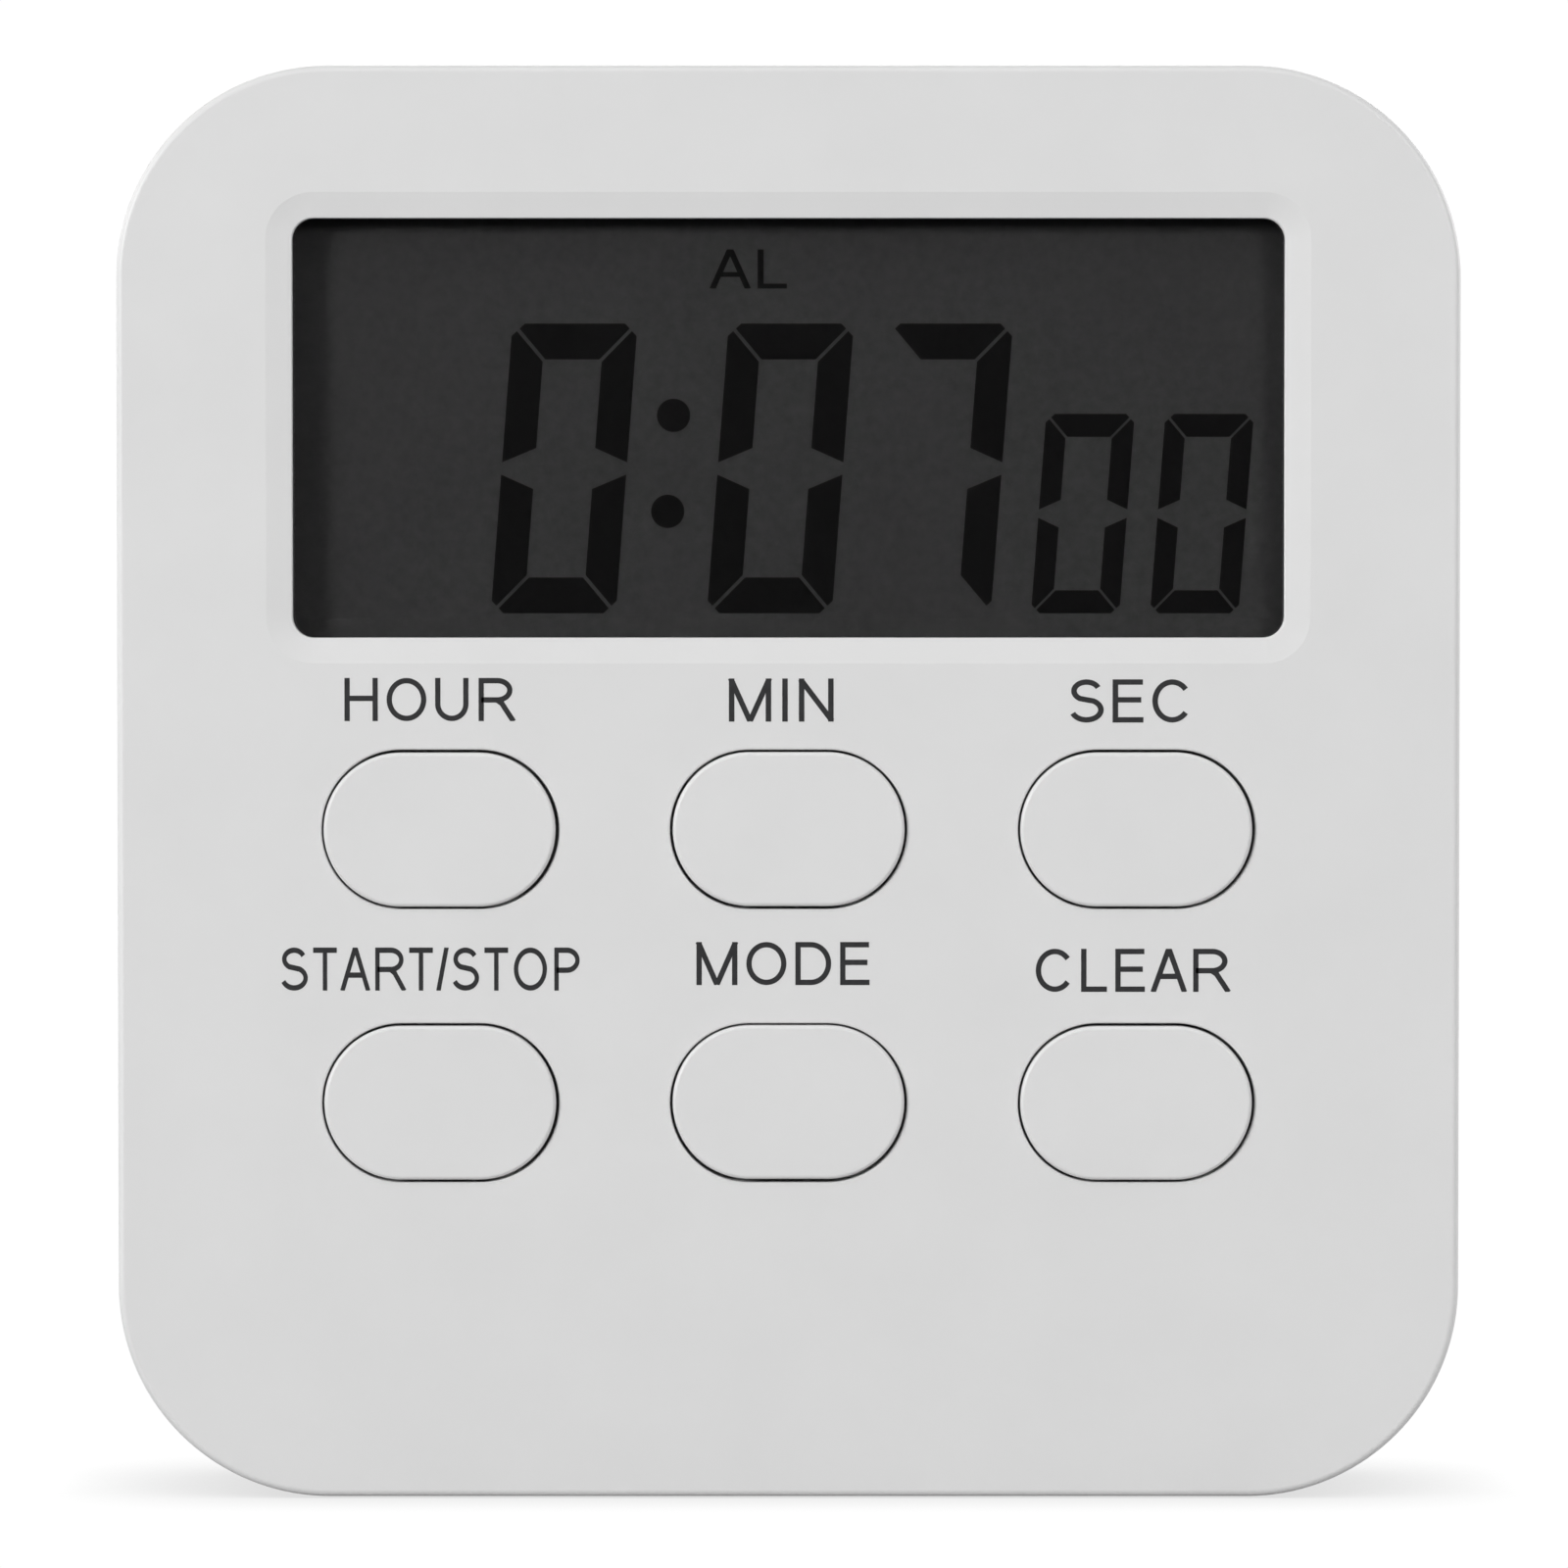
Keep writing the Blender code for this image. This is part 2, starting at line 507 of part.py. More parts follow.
# ---------------------------------------------------------------- keys and keypad
def make_key(name, x, z, stuff, rubber, root):
    """One cap with its retaining flange and post, and the conductive pill that travels with it."""
    width, height = KEY_HOLE_W - 2 * FIT, KEY_HOLE_H - 2 * FIT

    def section(inset, depth):
        return rounded_box(width - 2 * inset, height - 2 * inset, height, KEY_STEPS), depth

    flange = WALL + 0.0002
    flange_end = flange + KEY_FLANGE_T
    post = circle(KEY_POST_R, KEY_STEPS)
    cap = add(f"{name}_button", loft(f"{name}_button", [
        section(KEY_EDGE, -KEY_PROUD), section(0, KEY_EDGE - KEY_PROUD), section(0, flange),
        section(-KEY_FLANGE, flange), section(-KEY_FLANGE, flange_end),
        (post, flange_end), (post, DOME_TOP - 0.0001 - FRONT)]), stuff, root, (x, FRONT, z))
    pill = prism(f"{name}_contact_pill", circle(PILL_R), PILL_FRONT - FRONT, PILL_FRONT + PILL_T - FRONT)
    add(f"{name}_contact_pill", pill, rubber, cap)
    return cap


def make_keypad(stuff, root):
    """The silicone sheet, with a hollow dome under each key that holds a conductive pill off the board."""
    low, high, half = BOARD_FOOT + 0.0004, KEY_ROW_Z + KEY_PITCH_Z + 0.0060, 0.0284
    back = BOARD_FRONT - STACK_GAP
    front = back - SHEET_T
    outline = rounded_box(2 * half, high - low, 0.0015, ROUND_STEPS, (0, (low + high) / 2))
    pad = add("rubber_keypad", prism("rubber_keypad", outline, front, back), stuff, root)
    dome = loft("dome", [(circle(DOME_R), back - 0.0001), (circle(DOME_R), front - 0.0002),
                         (circle(DOME_R - DOME_SLOPE), DOME_TOP)])
    inner = DOME_R - DOME_WALL
    hollow = loft("dome_hollow", [(circle(inner), back + OVERCUT), (circle(inner), front),
                                  (circle(inner - DOME_SLOPE), PILL_FRONT - STACK_GAP)])
    clearance = prism("pad_hole", circle(BOARD_BOSS_R + 2 * FIT), front - OVERCUT, back + OVERCUT)
    for name, x, z in key_places():
        join(pad, helper(f"add_{name}_dome", dome, root, (x, 0, z)))
        cut(pad, helper(f"cut_{name}_dome", hollow, root, (x, 0, z)))
    cut(pad, *[helper(f"cut_pad_hole_{i}", clearance, root, (x, 0, z))
               for i, (x, z) in enumerate(BOARD_SCREWS[:2], 1)])
    return pad


# ---------------------------------------------------------------- display
def make_display(stuffs, root):
    """Lens, polarisers, the two glasses, the frame behind them and the strip that joins them to the board."""
    low, high = cell_span()
    view_low = low + LEDGE
    inside = 0.0004  # how far the rear polariser and the holder stop short of the glass
    lens = rounded_box(LENS_W, LENS_H, 0.0006, ROUND_STEPS, (0, WINDOW_Z))
    add("display_lens", prism("display_lens", lens, LENS_FRONT, LENS_BACK), stuffs["clear"], root)

    layers = (
        ("lcd_front_polariser", "film", POLARISER_T, POLARISER_W, view_low, high - inside / 2),
        ("lcd_front_glass", "glass", GLASS_T, GLASS_W, low, high),
        ("lcd_rear_glass", "glass", GLASS_T, GLASS_W, view_low, high),
        ("lcd_rear_polariser", "film", POLARISER_T, POLARISER_W, view_low + inside, high - inside),
    )
    at, ends = LENS_BACK + 0.0001, {}
    for name, stuff, thickness, width, bottom, top in layers:
        outline = rounded_box(width, top - bottom, 0.0002, 1, (0, (bottom + top) / 2))
        add(name, prism(name, outline, at, at + thickness), stuffs[stuff], root)
        ends[name] = at + thickness
        at += thickness + STACK_GAP

    end, margin = BOARD_FRONT - 2 * STACK_GAP, 0.0030
    outline = rounded_box(GLASS_W - inside, high - low - inside, 0.0005, 1, (0, (low + high) / 2))
    holder = add("lcd_holder", prism("lcd_holder", outline, at, end), stuffs["plastic"], root)
    hollow = block("holder_hollow", (-STRIP_W / 2 + margin, at - OVERCUT, view_low + margin),
                   (STRIP_W / 2 - margin, end + OVERCUT, high - margin))
    strip_low, strip_high, gap = low + STRIP_LOW, low + STRIP_LOW + STRIP_HEIGHT, 0.0001
    slot = block("strip_slot", (-STRIP_W / 2 - gap, at - OVERCUT, strip_low - gap),
                 (STRIP_W / 2 + gap, end + OVERCUT, strip_high + gap))
    cut(holder, helper("cut_holder_hollow", hollow, root), helper("cut_strip_slot", slot, root))
    strip = block("zebra_strip", (-STRIP_W / 2, ends["lcd_front_glass"] + STACK_GAP, strip_low),
                  (STRIP_W / 2, BOARD_FRONT - STACK_GAP, strip_high))
    add("zebra_strip", strip, stuffs["rubber"], root)


# ---------------------------------------------------------------- electronics
def turned(name, profile, seat):
    """A round piece that stands on the board, from (radius, height) pairs."""
    return loft(name, [(circle(radius), seat + height) for radius, height in profile])


def make_board(stuffs, root):
    """The circuit board and what is soldered to its back."""
    middle = (0, (BOARD_TOP + BOARD_FOOT) / 2)
    outline = rounded_box(BOARD_W, BOARD_TOP - BOARD_FOOT, 0.0030, ROUND_STEPS, middle)
    board = add("main_board", prism("main_board", outline, BOARD_FRONT, BOARD_BACK), stuffs["board"], root)
    hole = prism("board_hole", circle(BOARD_HOLE_R, 3), BOARD_FRONT - OVERCUT, BOARD_BACK + OVERCUT)
    cut(board, *[helper(f"cut_board_hole_{i}", hole, root, (x, 0, z))
                 for i, (x, z) in enumerate(BOARD_SCREWS, 1)])

    seat = BOARD_BACK + STACK_GAP
    blob = turned("chip_encapsulant", (
        (0.0050, 0), (0.0048, 0.0005), (0.0038, 0.0010), (0.0020, 0.0013)), seat)
    add("chip_encapsulant", blob, stuffs["epoxy"], root, (0, 0, 0.0600))
    can = turned("electrolytic_capacitor", (
        (0.0020, 0), (0.0020, 0.0005), (0.0018, 0.0008), (0.0020, 0.0011), (0.0020, 0.0042)), seat)
    add("electrolytic_capacitor", can, stuffs["sleeve"], root, (-0.0200, 0, 0.0420))
    bobbin = turned("boost_inductor", (
        (0.0027, 0), (0.0027, 0.0006), (0.0021, 0.0006), (0.0021, 0.0034), (0.0027, 0.0034),
        (0.0027, 0.0040)), seat)
    add("boost_inductor", bobbin, stuffs["epoxy"], root, (-0.0240, 0, 0.0520))
    crystal_r, crystal_half = 0.0010, 0.0030
    crystal = prism("quartz_crystal", circle(crystal_r), -crystal_half, crystal_half, "X")
    add("quartz_crystal", crystal, stuffs["tin"], root, (0.0110, seat + crystal_r, 0.0660))

    chips = {  # centre x and z, then width, height and thickness
        "drive_transistor": (0.0160, 0.0480, 0.0030, 0.0014, 0.0010),
        "tuning_resistor": (0.0110, 0.0610, 0.0020, 0.0012, 0.0005),
        "filter_capacitor": (-0.0110, 0.0660, 0.0020, 0.0012, 0.0007),
    }
    for name, (x, z, width, height, thickness) in chips.items():
        body = block(name, (-width / 2, seat, -height / 2), (width / 2, seat + thickness, height / 2))
        add(name, body, stuffs["epoxy"], root, (x, 0, z))

    small = screw("board_screw", 0.0017, 0.0010, BOARD_SCREW_R, 0.0040)
    for i, (x, z) in enumerate(BOARD_SCREWS, 1):
        add(f"board_screw_{i}", small, stuffs["steel"], root, (x, seat, z))


def make_sounder(stuffs, root):
    """The sounder's brass disc, and the ceramic disc bonded to it."""
    at = (SOUNDER_X, 0, SOUNDER_Z)
    disc = prism("sounder_disc", circle(SOUNDER_R, 6), SOUNDER_FRONT, SOUNDER_FRONT + SOUNDER_T)
    add("sounder_disc", disc, stuffs["brass"], root, at)
    ceramic_back = SOUNDER_FRONT - STACK_GAP
    ceramic = prism("sounder_ceramic", circle(CERAMIC_R, 6), ceramic_back - CERAMIC_T, ceramic_back)
    add("sounder_ceramic", ceramic, stuffs["ceramic"], root, at)


# ---------------------------------------------------------------- battery
def make_cell(stuff, root):
    """The AAA cell, lying along X with its button end to the right."""
    shoulder, well, cap_r, button_r = CELL_LENGTH - 0.0014, CELL_LENGTH - 0.0016, 0.0036, 0.0019
    crimp = 0.0004
    profile = [(CELL_R - crimp, 0), (CELL_R, crimp), (CELL_R, shoulder - crimp), (CELL_R - crimp, shoulder),
               (cap_r, shoulder), (cap_r, well), (button_r, well), (button_r, CELL_LENGTH - 0.0002),
               (button_r - 0.0003, CELL_LENGTH)]
    sections = [(circle(radius, 5), along) for radius, along in profile]
    return add("aaa_cell", loft("aaa_cell", sections, "X"), stuff, root, (CELL_LEFT, CELL_Y, CELL_Z))


def make_contacts(stuff, root):
    """The flat contact, and the sprung one with its coil. Each plate has a tab that passes the bay's wall."""
    low_y, high_y = CELL_Y - CONTACT_REACH, CELL_Y + CONTACT_REACH
    low, high = CELL_Z - CONTACT_REACH, CELL_Z + CONTACT_REACH
    tab_top = CELL_Z + BAY_HEIGHT / 2 + BAY_WALL + TAB_RISE
    outline = [(low_y, low), (high_y, low), (high_y, high), (TAB_BACK, high), (TAB_BACK, tab_top),
               (TAB_FRONT, tab_top), (TAB_FRONT, high), (low_y, high)]
    back = BAY_LENGTH / 2 - 0.0002
    front = back - CONTACT_T
    add("negative_contact", prism("negative_contact", outline, -back, -front, "X"), stuff, root)
    flat = add("positive_contact", prism("positive_contact", outline, front, back, "X"), stuff, root)
    dimple = loft("dimple", [(circle(0.0022), front + 0.0001), (circle(0.0020), front - 0.0002),
                             (circle(0.0012), CELL_LEFT + CELL_LENGTH + 2 * STACK_GAP)], "X")
    join(flat, helper("add_dimple", dimple, root, (0, CELL_Y, CELL_Z)))

    turns, per_turn = 3, 10
    start = SPRING_WIRE_R + STACK_GAP - front
    end = CELL_LEFT - SPRING_WIRE_R - STACK_GAP
    points = []
    for i in range(turns * per_turn + 1):
        along = i / (turns * per_turn)
        angle = 2 * math.pi * i / per_turn
        radius = SPRING_WIDE_R + (SPRING_TIP_R - SPRING_WIDE_R) * along
        points.append((start + (end - start) * along, CELL_Y + radius * math.cos(angle),
                       CELL_Z + radius * math.sin(angle)))
    tube("battery_spring", points, SPRING_WIRE_R, stuff, root)


def make_wires(stuffs, root):
    """The battery's wires from its contacts to the board, and the sounder's pair."""
    tab_x = BAY_LENGTH / 2 - 0.0003 - CONTACT_T - WIRE_R
    tab_z = CELL_Z + BAY_HEIGHT / 2 + BAY_WALL + 0.0011
    board_y = BOARD_BACK + WIRE_R + STACK_GAP
    for side, name, stuff in ((1, "positive_wire", stuffs["red"]), (-1, "negative_wire", stuffs["black"])):
        route = [(side * (tab_x - back), y, tab_z + rise) for back, y, rise in (
            (0, 0.0010, 0), (0.0020, 0.0013, 0.0006), (0.0050, 0.0008, 0.0026), (0.0075, 0.0001, 0.0032),
            (0.0100, board_y, 0.0030))]
        tube(name, smooth_line(route, 4), WIRE_R, stuff, root)

    ceramic_y = SOUNDER_FRONT - STACK_GAP - CERAMIC_T - WIRE_R - 0.0001
    disc_y = SOUNDER_FRONT - WIRE_R - 0.0001
    routes = {
        "sounder_wire_ceramic": (stuffs["red"], [
            (-0.0015, ceramic_y, 0.0010), (-0.0035, 0.0024, 0.0045), (-0.0050, 0.0008, 0.0085),
            (-0.0055, board_y, 0.0120)]),
        "sounder_wire_disc": (stuffs["black"], [
            (0.0005, disc_y, 0.0067), (-0.0010, 0.0024, 0.0090), (-0.0025, 0.0008, 0.0115),
            (-0.0030, board_y, 0.0150)]),
    }
    for name, (stuff, offsets) in routes.items():
        route = [(SOUNDER_X + x, y, SOUNDER_Z + z) for x, y, z in offsets]
        tube(name, smooth_line(route, 4), WIRE_R, stuff, root)


# ---------------------------------------------------------------- assembly
def make_materials():
    return {
        "plastic": material("white_abs", (0.82, 0.82, 0.82), 0.45),
        "clear": material("clear_acrylic", (0.90, 0.92, 0.93), 0.05, alpha=0.25),
        "film": material("polariser_film", (0.05, 0.05, 0.05), 0.35),
        "glass": material("display_glass", (0.55, 0.60, 0.58), 0.05, alpha=0.5),
        "silicone": material("silicone_rubber", (0.45, 0.47, 0.50), 0.70),
        "rubber": material("conductive_rubber", (0.03, 0.03, 0.03), 0.80),
        "board": material("circuit_laminate", (0.10, 0.32, 0.12), 0.50),
        "epoxy": material("black_epoxy", (0.02, 0.02, 0.02), 0.30),
        "sleeve": material("capacitor_sleeve", (0.05, 0.07, 0.22), 0.40),
        "tin": material("tinned_can", (0.75, 0.75, 0.76), 0.30, 1.0),
        "steel": material("plated_steel", (0.62, 0.62, 0.63), 0.30, 1.0),
        "magnet": material("magnet_nickel", (0.60, 0.60, 0.61), 0.25, 1.0),
        "brass": material("sounder_brass", (0.78, 0.60, 0.25), 0.30, 1.0),
        "ceramic": material("sounder_ceramic", (0.80, 0.78, 0.70), 0.60),
        "jacket": material("cell_jacket", (0.10, 0.12, 0.16), 0.30),
        "red": material("red_insulation", (0.65, 0.04, 0.03), 0.45),
        "black": material("black_insulation", (0.02, 0.02, 0.02), 0.45),
    }


def main():
    for old in list(bpy.data.objects):
        bpy.data.objects.remove(old)
    stuffs = make_materials()
    root = bpy.data.objects.new("kitchen_timer", None)
    bpy.context.scene.collection.objects.link(root)

    make_front_shell(stuffs["plastic"], root)
    make_rear_shell(stuffs["plastic"], root)
    make_battery_door(stuffs["plastic"], root)
    make_kickstand(stuffs["plastic"], root)
    for name, x, z in key_places():
        make_key(name, x, z, stuffs["plastic"], stuffs["rubber"], root)
    make_keypad(stuffs["silicone"], root)
    make_display(stuffs, root)
    make_board(stuffs, root)
    make_sounder(stuffs, root)
    make_cell(stuffs["jacket"], root)
    make_contacts(stuffs["steel"], root)
    make_wires(stuffs, root)

    magnet = prism("magnet", circle(MAGNET_R, 6), BACK - MAGNET_T - 0.0001, BACK - 0.0001)
    for word, x in MAGNETS.items():
        add(f"magnet_{word}", magnet, stuffs["magnet"], root, (x, 0, MAGNET_Z))
    long_screw = screw("case_screw", CASE_HEAD_R, 0.0013, CASE_SCREW_R, 0.0090)
    for corner, (side, z) in CASE_SCREWS.items():
        add(f"case_screw_{corner}", long_screw, stuffs["steel"], root,
            (side * CASE_SCREW_X, CASE_SEAT + STACK_GAP, z))


main()
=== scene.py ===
"""Looks for the kitchen timer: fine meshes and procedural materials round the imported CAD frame.

Metres, +Z up, the face towards -Y. Depths are y values, so what is nearer the reader has the smaller y.
Places come from the frame's boxes, and the constants below hold only the shapes that the boxes can't tell.
"""

import math

import bmesh
import bpy
from mathutils import Matrix, Vector


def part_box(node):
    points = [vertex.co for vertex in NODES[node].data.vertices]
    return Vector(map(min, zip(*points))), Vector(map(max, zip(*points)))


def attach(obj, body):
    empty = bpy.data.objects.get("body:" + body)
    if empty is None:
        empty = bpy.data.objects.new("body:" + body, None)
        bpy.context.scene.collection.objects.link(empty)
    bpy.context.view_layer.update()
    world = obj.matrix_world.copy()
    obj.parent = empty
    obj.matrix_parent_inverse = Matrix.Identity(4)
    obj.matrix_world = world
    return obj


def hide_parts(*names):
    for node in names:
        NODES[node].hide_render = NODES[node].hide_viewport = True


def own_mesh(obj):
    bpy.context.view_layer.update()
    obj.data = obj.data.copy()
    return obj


# ---------------------------------------------------------------- shapes that the frame's boxes can't tell
CORNER_R = 0.0118
FRONT_EDGE_R, BACK_EDGE_R, SEAM_EDGE_R = 0.0004, 0.0025, 0.00015
WALL, BACK_WALL, TONGUE = 0.0018, 0.0016, 0.0008
SEAM, FIT = 0.0002, 0.00015  # the gap round the side, and the play round each part that fits into another
MERGE, OVERCUT = 0.0003, 0.001  # how far a joined shape reaches in, and a cutting shape reaches out
BOARD_BOSS, CASE_BOSS = (0.0018, 0.0009, 0.0004), (0.0023, 0.0011, 0.0008)  # radius, hole's radius and floor

KEY_FLANGE, KEY_FLANGE_T, KEY_HIDDEN = 0.0010, 0.0008, 0.0002  # hidden: from the front's inside to the flange
KEY_EDGE_R, HOLE_EDGE_R = 0.00022, 0.00012
KEY_POST_R, KEY_TRAVEL = 0.0026, 0.0008
# each cap rests a little off centre in the play round it, right and up
KEY_REST = {"hour": (-0.00004, -0.00001), "min": (0.00001, 0.00002), "sec": (-0.00003, 0),
            "start_stop": (-0.00002, 0.00001), "mode": (0, 0.00005), "clear": (-0.00002, 0)}

LENS_MARGIN = 0.0010  # the lens reaches this far behind the window's edge
WINDOW_R, BEVEL_W, BEVEL_DEPTH = 0.0012, 0.0014, 0.00028

CORNER_STEPS = 36  # facets in a quarter turn of the case's corners
KEY_STEPS = 24
ROUND_STEPS = 12

# an edge sharper than this, in degrees, stays crisp
SHELL_CRISP, PART_CRISP, METAL_CRISP, BEVELLED_ANGLE, WIRE_CRISP = 11, 30, 35, 40, 50

KEYS = ("hour", "min", "sec", "start_stop", "mode", "clear")
DOME_FOOT_R, DOME_HEAD_R, DOME_WALL, KEYPAD_SHEET_T = 0.0047, 0.0035, 0.0007, 0.00075

BAY_LENGTH, BAY_HEIGHT, BAY_WALL = 0.0500, 0.0109, 0.0010
CONTACT_BACK, CONTACT_FACE = BAY_LENGTH / 2 - 0.0002, BAY_LENGTH / 2 - 0.0005  # x of the contact plates
TAB_SLOT_END = 0.0020
# the ends of the cell's printed band, and half the length and width of its signs
CELL_BAND, CELL_MARK = (0.0325, 0.0440), (0.0016, 0.00035)
DOOR_T, DOOR_RAIL, DOOR_RAIL_T = 0.0013, 0.0010, 0.00045
DOOR_SIDE_X, DOOR_SIDE_Y = 0.0290, 0.0050  # outer side and front of the blocks that the rails run in
DOOR_GRIP_W, DOOR_GRIP_H, DOOR_GRIP_DEPTH = 0.0140, 0.0008, 0.0006
DOOR_GRIPS, DOOR_GRIP_LOW, DOOR_GRIP_PITCH = 4, 0.0048, 0.0016
DOOR_ARROW = ((-0.0020, 0.0136), (0, 0.0114), (0.0020, 0.0136))
STAND_PLAY, STAND_CORNER, STAND_AXLE_R, STAND_AXLE = 0.0003, 0.0030, 0.0006, 0.0009
STAND_PANEL_W, STAND_PANEL_H, STAND_PANEL_DEPTH = 0.0160, 0.0150, 0.0006
STAND_PANEL_PLACE = 0.46  # its middle, as a share of the way up the stand
NOTCH_R, NOTCH_W, NOTCH_RAISE = 0.0045, 0.0120, 0.0022
SCREW_SEAT, SCREW_BORE_R, SCREW_HOLE_R, SCREW_POST_R = 0.0050, 0.0021, 0.0012, 0.0030
VENT_R, VENT_SPREAD = 0.0007, 0.0030
SPRING_WIRE_R, SPRING_TURNS = 0.0003, 3
WIRE_R = 0.00045

# ---------------------------------------------------------------- display and legends
GLYPH_SLANT = 0.076
BIG_DIGIT = {"width": 0.00700, "height": 0.01620, "upright": 0.00185, "level": 0.00200, "chamfer": 0.00070,
             "middle": 0.00115, "gap": 0.00007}
SMALL_DIGIT = {"width": 0.00495, "height": 0.01115, "upright": 0.00118, "level": 0.00128, "chamfer": 0.00048,
               "middle": 0.00078, "gap": 0.00005}
BIG_DIGITS = (("0", -0.01667), ("0", -0.00457), ("7", 0.00433))
SMALL_DIGITS = (("0", 0.01358), ("0", 0.02025))
DIGIT_FOOT = -0.01035  # from the window's centre to the foot of the digits
LIT = {"0": "abcdef", "7": "abc"}
COLON = ((-0.00643, 0.00072), (-0.00676, -0.00465))
COLON_R = 0.00093
ALARM_MARK = ("AL", -0.00225, 0.00890, 0.00432, 0.00218)  # words, centre x and z, width, height

# words, width, and the middle of the words from the middle of their key
LEGENDS = {"hour": ("HOUR", 0.00956, -0.00056, 0.00726), "min": ("MIN", 0.00593, -0.00041, 0.00723),
           "sec": ("SEC", 0.00655, -0.00043, 0.00718),
           "start_stop": ("START/STOP", 0.01666, -0.00055, 0.00749),
           "mode": ("MODE", 0.00972, -0.00033, 0.00780), "clear": ("CLEAR", 0.01090, -0.00018, 0.00742)}
LEGEND_HEIGHT, LEGEND_STROKE = 0.00241, 0.00030
MARK_STROKE = 0.00027
INK_T = 0.00001

# ---------------------------------------------------------------- studio
CAMERA_DISTANCE, CAMERA_ELEVATION = 0.50, math.radians(2.0)
FRAME_WIDTH = 0.08757  # width of the picture where the face stands
AIM_X, AIM_Z = -0.00025, 0.03994
FLOOR_REACH, FLOOR_DROP, CONTACT_REACH = 3.0, 0.0001, 0.008
BOUNCE, BOUNCE_FADE = (0.50, 0.05), (0.3, 0.7)  # how light the floor is at these distances
SKY_LIGHT = 0.25
LAMP_AIM = (0, 0, 0.04)
LAMPS = (("key_light", (-0.85, -0.65, 0.33), (0.24, 0.24), 7.4),  # place, size, watts
         ("fill_light", (0.56, -0.78, 0.36), (0.24, 0.24), 3.1),
         ("top_light", (0.0, -0.45, 0.75), (0.5, 0.3), 1.35),
         ("left_side_light", (-0.80, 0.35, 0.30), (0.5, 0.5), 2.2),
         ("right_side_light", (0.80, 0.35, 0.30), (0.5, 0.5), 3.6),
         ("back_light", (0.1, 0.9, 0.5), (0.7, 0.7), 3.6))

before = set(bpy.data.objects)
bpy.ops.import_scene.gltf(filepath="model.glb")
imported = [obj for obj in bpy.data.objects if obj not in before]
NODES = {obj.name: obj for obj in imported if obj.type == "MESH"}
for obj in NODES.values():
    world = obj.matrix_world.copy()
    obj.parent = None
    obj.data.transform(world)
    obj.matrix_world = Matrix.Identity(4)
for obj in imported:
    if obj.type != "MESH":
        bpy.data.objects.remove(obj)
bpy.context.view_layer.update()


# ---------------------------------------------------------------- outlines and meshes
def rounded_box(width, height, radius, steps=ROUND_STEPS, centre=(0, 0)):
    """Outline of a rectangle with round corners, anticlockwise."""
    radius = min(radius, width / 2, height / 2)
    points = []
    for quarter, (side, level) in enumerate(((1, 1), (-1, 1), (-1, -1), (1, -1))):
        for step in range(steps + 1):
            angle = math.radians(90 * (quarter + step / steps))
            points.append((centre[0] + side * (width / 2 - radius) + radius * math.cos(angle),
                           centre[1] + level * (height / 2 - radius) + radius * math.sin(angle)))
    return points


def circle(radius, steps=ROUND_STEPS, centre=(0, 0)):
    return rounded_box(2 * radius, 2 * radius, radius, steps, centre)


def arch(width, low, high, radius, steps=ROUND_STEPS):
    """Outline of a rectangle about u = 0 whose upper corners are round and lower corners are square."""
    upper = rounded_box(width, 2 * radius, radius, steps, (0, high - radius))[:2 * (steps + 1)]
    return [*upper, (-width / 2, low), (width / 2, low)]


def place(u, v, depth, axis):
    return {"X": (depth, u, v), "Y": (u, depth, v), "Z": (u, v, depth)}[axis]


def add_object(name, data):
    made = bpy.data.objects.new(name, data)
    bpy.context.scene.collection.objects.link(made)
    return made


def mesh_from(name, mesh):
    """A Blender mesh with outward faces, from a bmesh that this frees."""
    bmesh.ops.remove_doubles(mesh, verts=mesh.verts, dist=1e-7)
    bmesh.ops.recalc_face_normals(mesh, faces=mesh.faces)
    if mesh.calc_volume(signed=True) < 0:
        bmesh.ops.reverse_faces(mesh, faces=mesh.faces)
    data = bpy.data.meshes.new(name)
    mesh.to_mesh(data)
    mesh.free()
    return data


def loft(name, sections, axis="Y", ring=False):
    """A closed mesh through (outline, depth) sections of equal point counts, capped at both ends."""
    mesh = bmesh.new()
    rows = [[mesh.verts.new(place(u, v, depth, axis)) for u, v in outline] for outline, depth in sections]
    pairs = list(zip(rows, rows[1:])) + ([(rows[-1], rows[0])] if ring else [])
    for row, after in pairs:
        for i in range(len(row)):
            j = (i + 1) % len(row)
            mesh.faces.new((row[i], row[j], after[j], after[i]))
    if not ring:
        mesh.faces.new(rows[0])
        mesh.faces.new(rows[-1])
    return mesh_from(name, mesh)


def prism(name, outline, start, end, axis="Y"):
    return loft(name, [(outline, start), (outline, end)], axis)


def block(name, low, high):
    outline = [(low[0], low[2]), (high[0], low[2]), (high[0], high[2]), (low[0], high[2])]
    return prism(name, outline, low[1], high[1])


def turned(name, profile, centre, axis="Y", steps=ROUND_STEPS):
    """A round piece about an axis through centre, from (radius, place along the axis) pairs."""
    sections = [(circle(radius, steps), along) for radius, along in profile]
    data = loft(name, sections, axis)
    data.transform(Matrix.Translation(Vector(centre)))
    return data


def quarter_turn(radius, steps=9):
    """(inset, depth) pairs of a rounded edge, from the face round to the side."""
    turns = [math.pi / 2 * i / steps for i in range(steps + 1)]
    return [(radius * (1 - math.sin(a)), radius * (1 - math.cos(a))) for a in turns]


def flared(outline_at, face, inward, end, radius=HOLE_EDGE_R):
    """A cutter for a hole with a rounded mouth in the face at this depth. outline_at(growth) draws it."""
    above = 0.0001
    first, *rest = quarter_turn(radius)
    slope = (first[0] - rest[0][0]) / rest[0][1]
    sections = [(outline_at(first[0] + above * slope), face - inward * above)]
    sections += [(outline_at(inset), face + inward * depth) for inset, depth in rest]
    sections.append((outline_at(0), end))
    return loft("flared", sections)


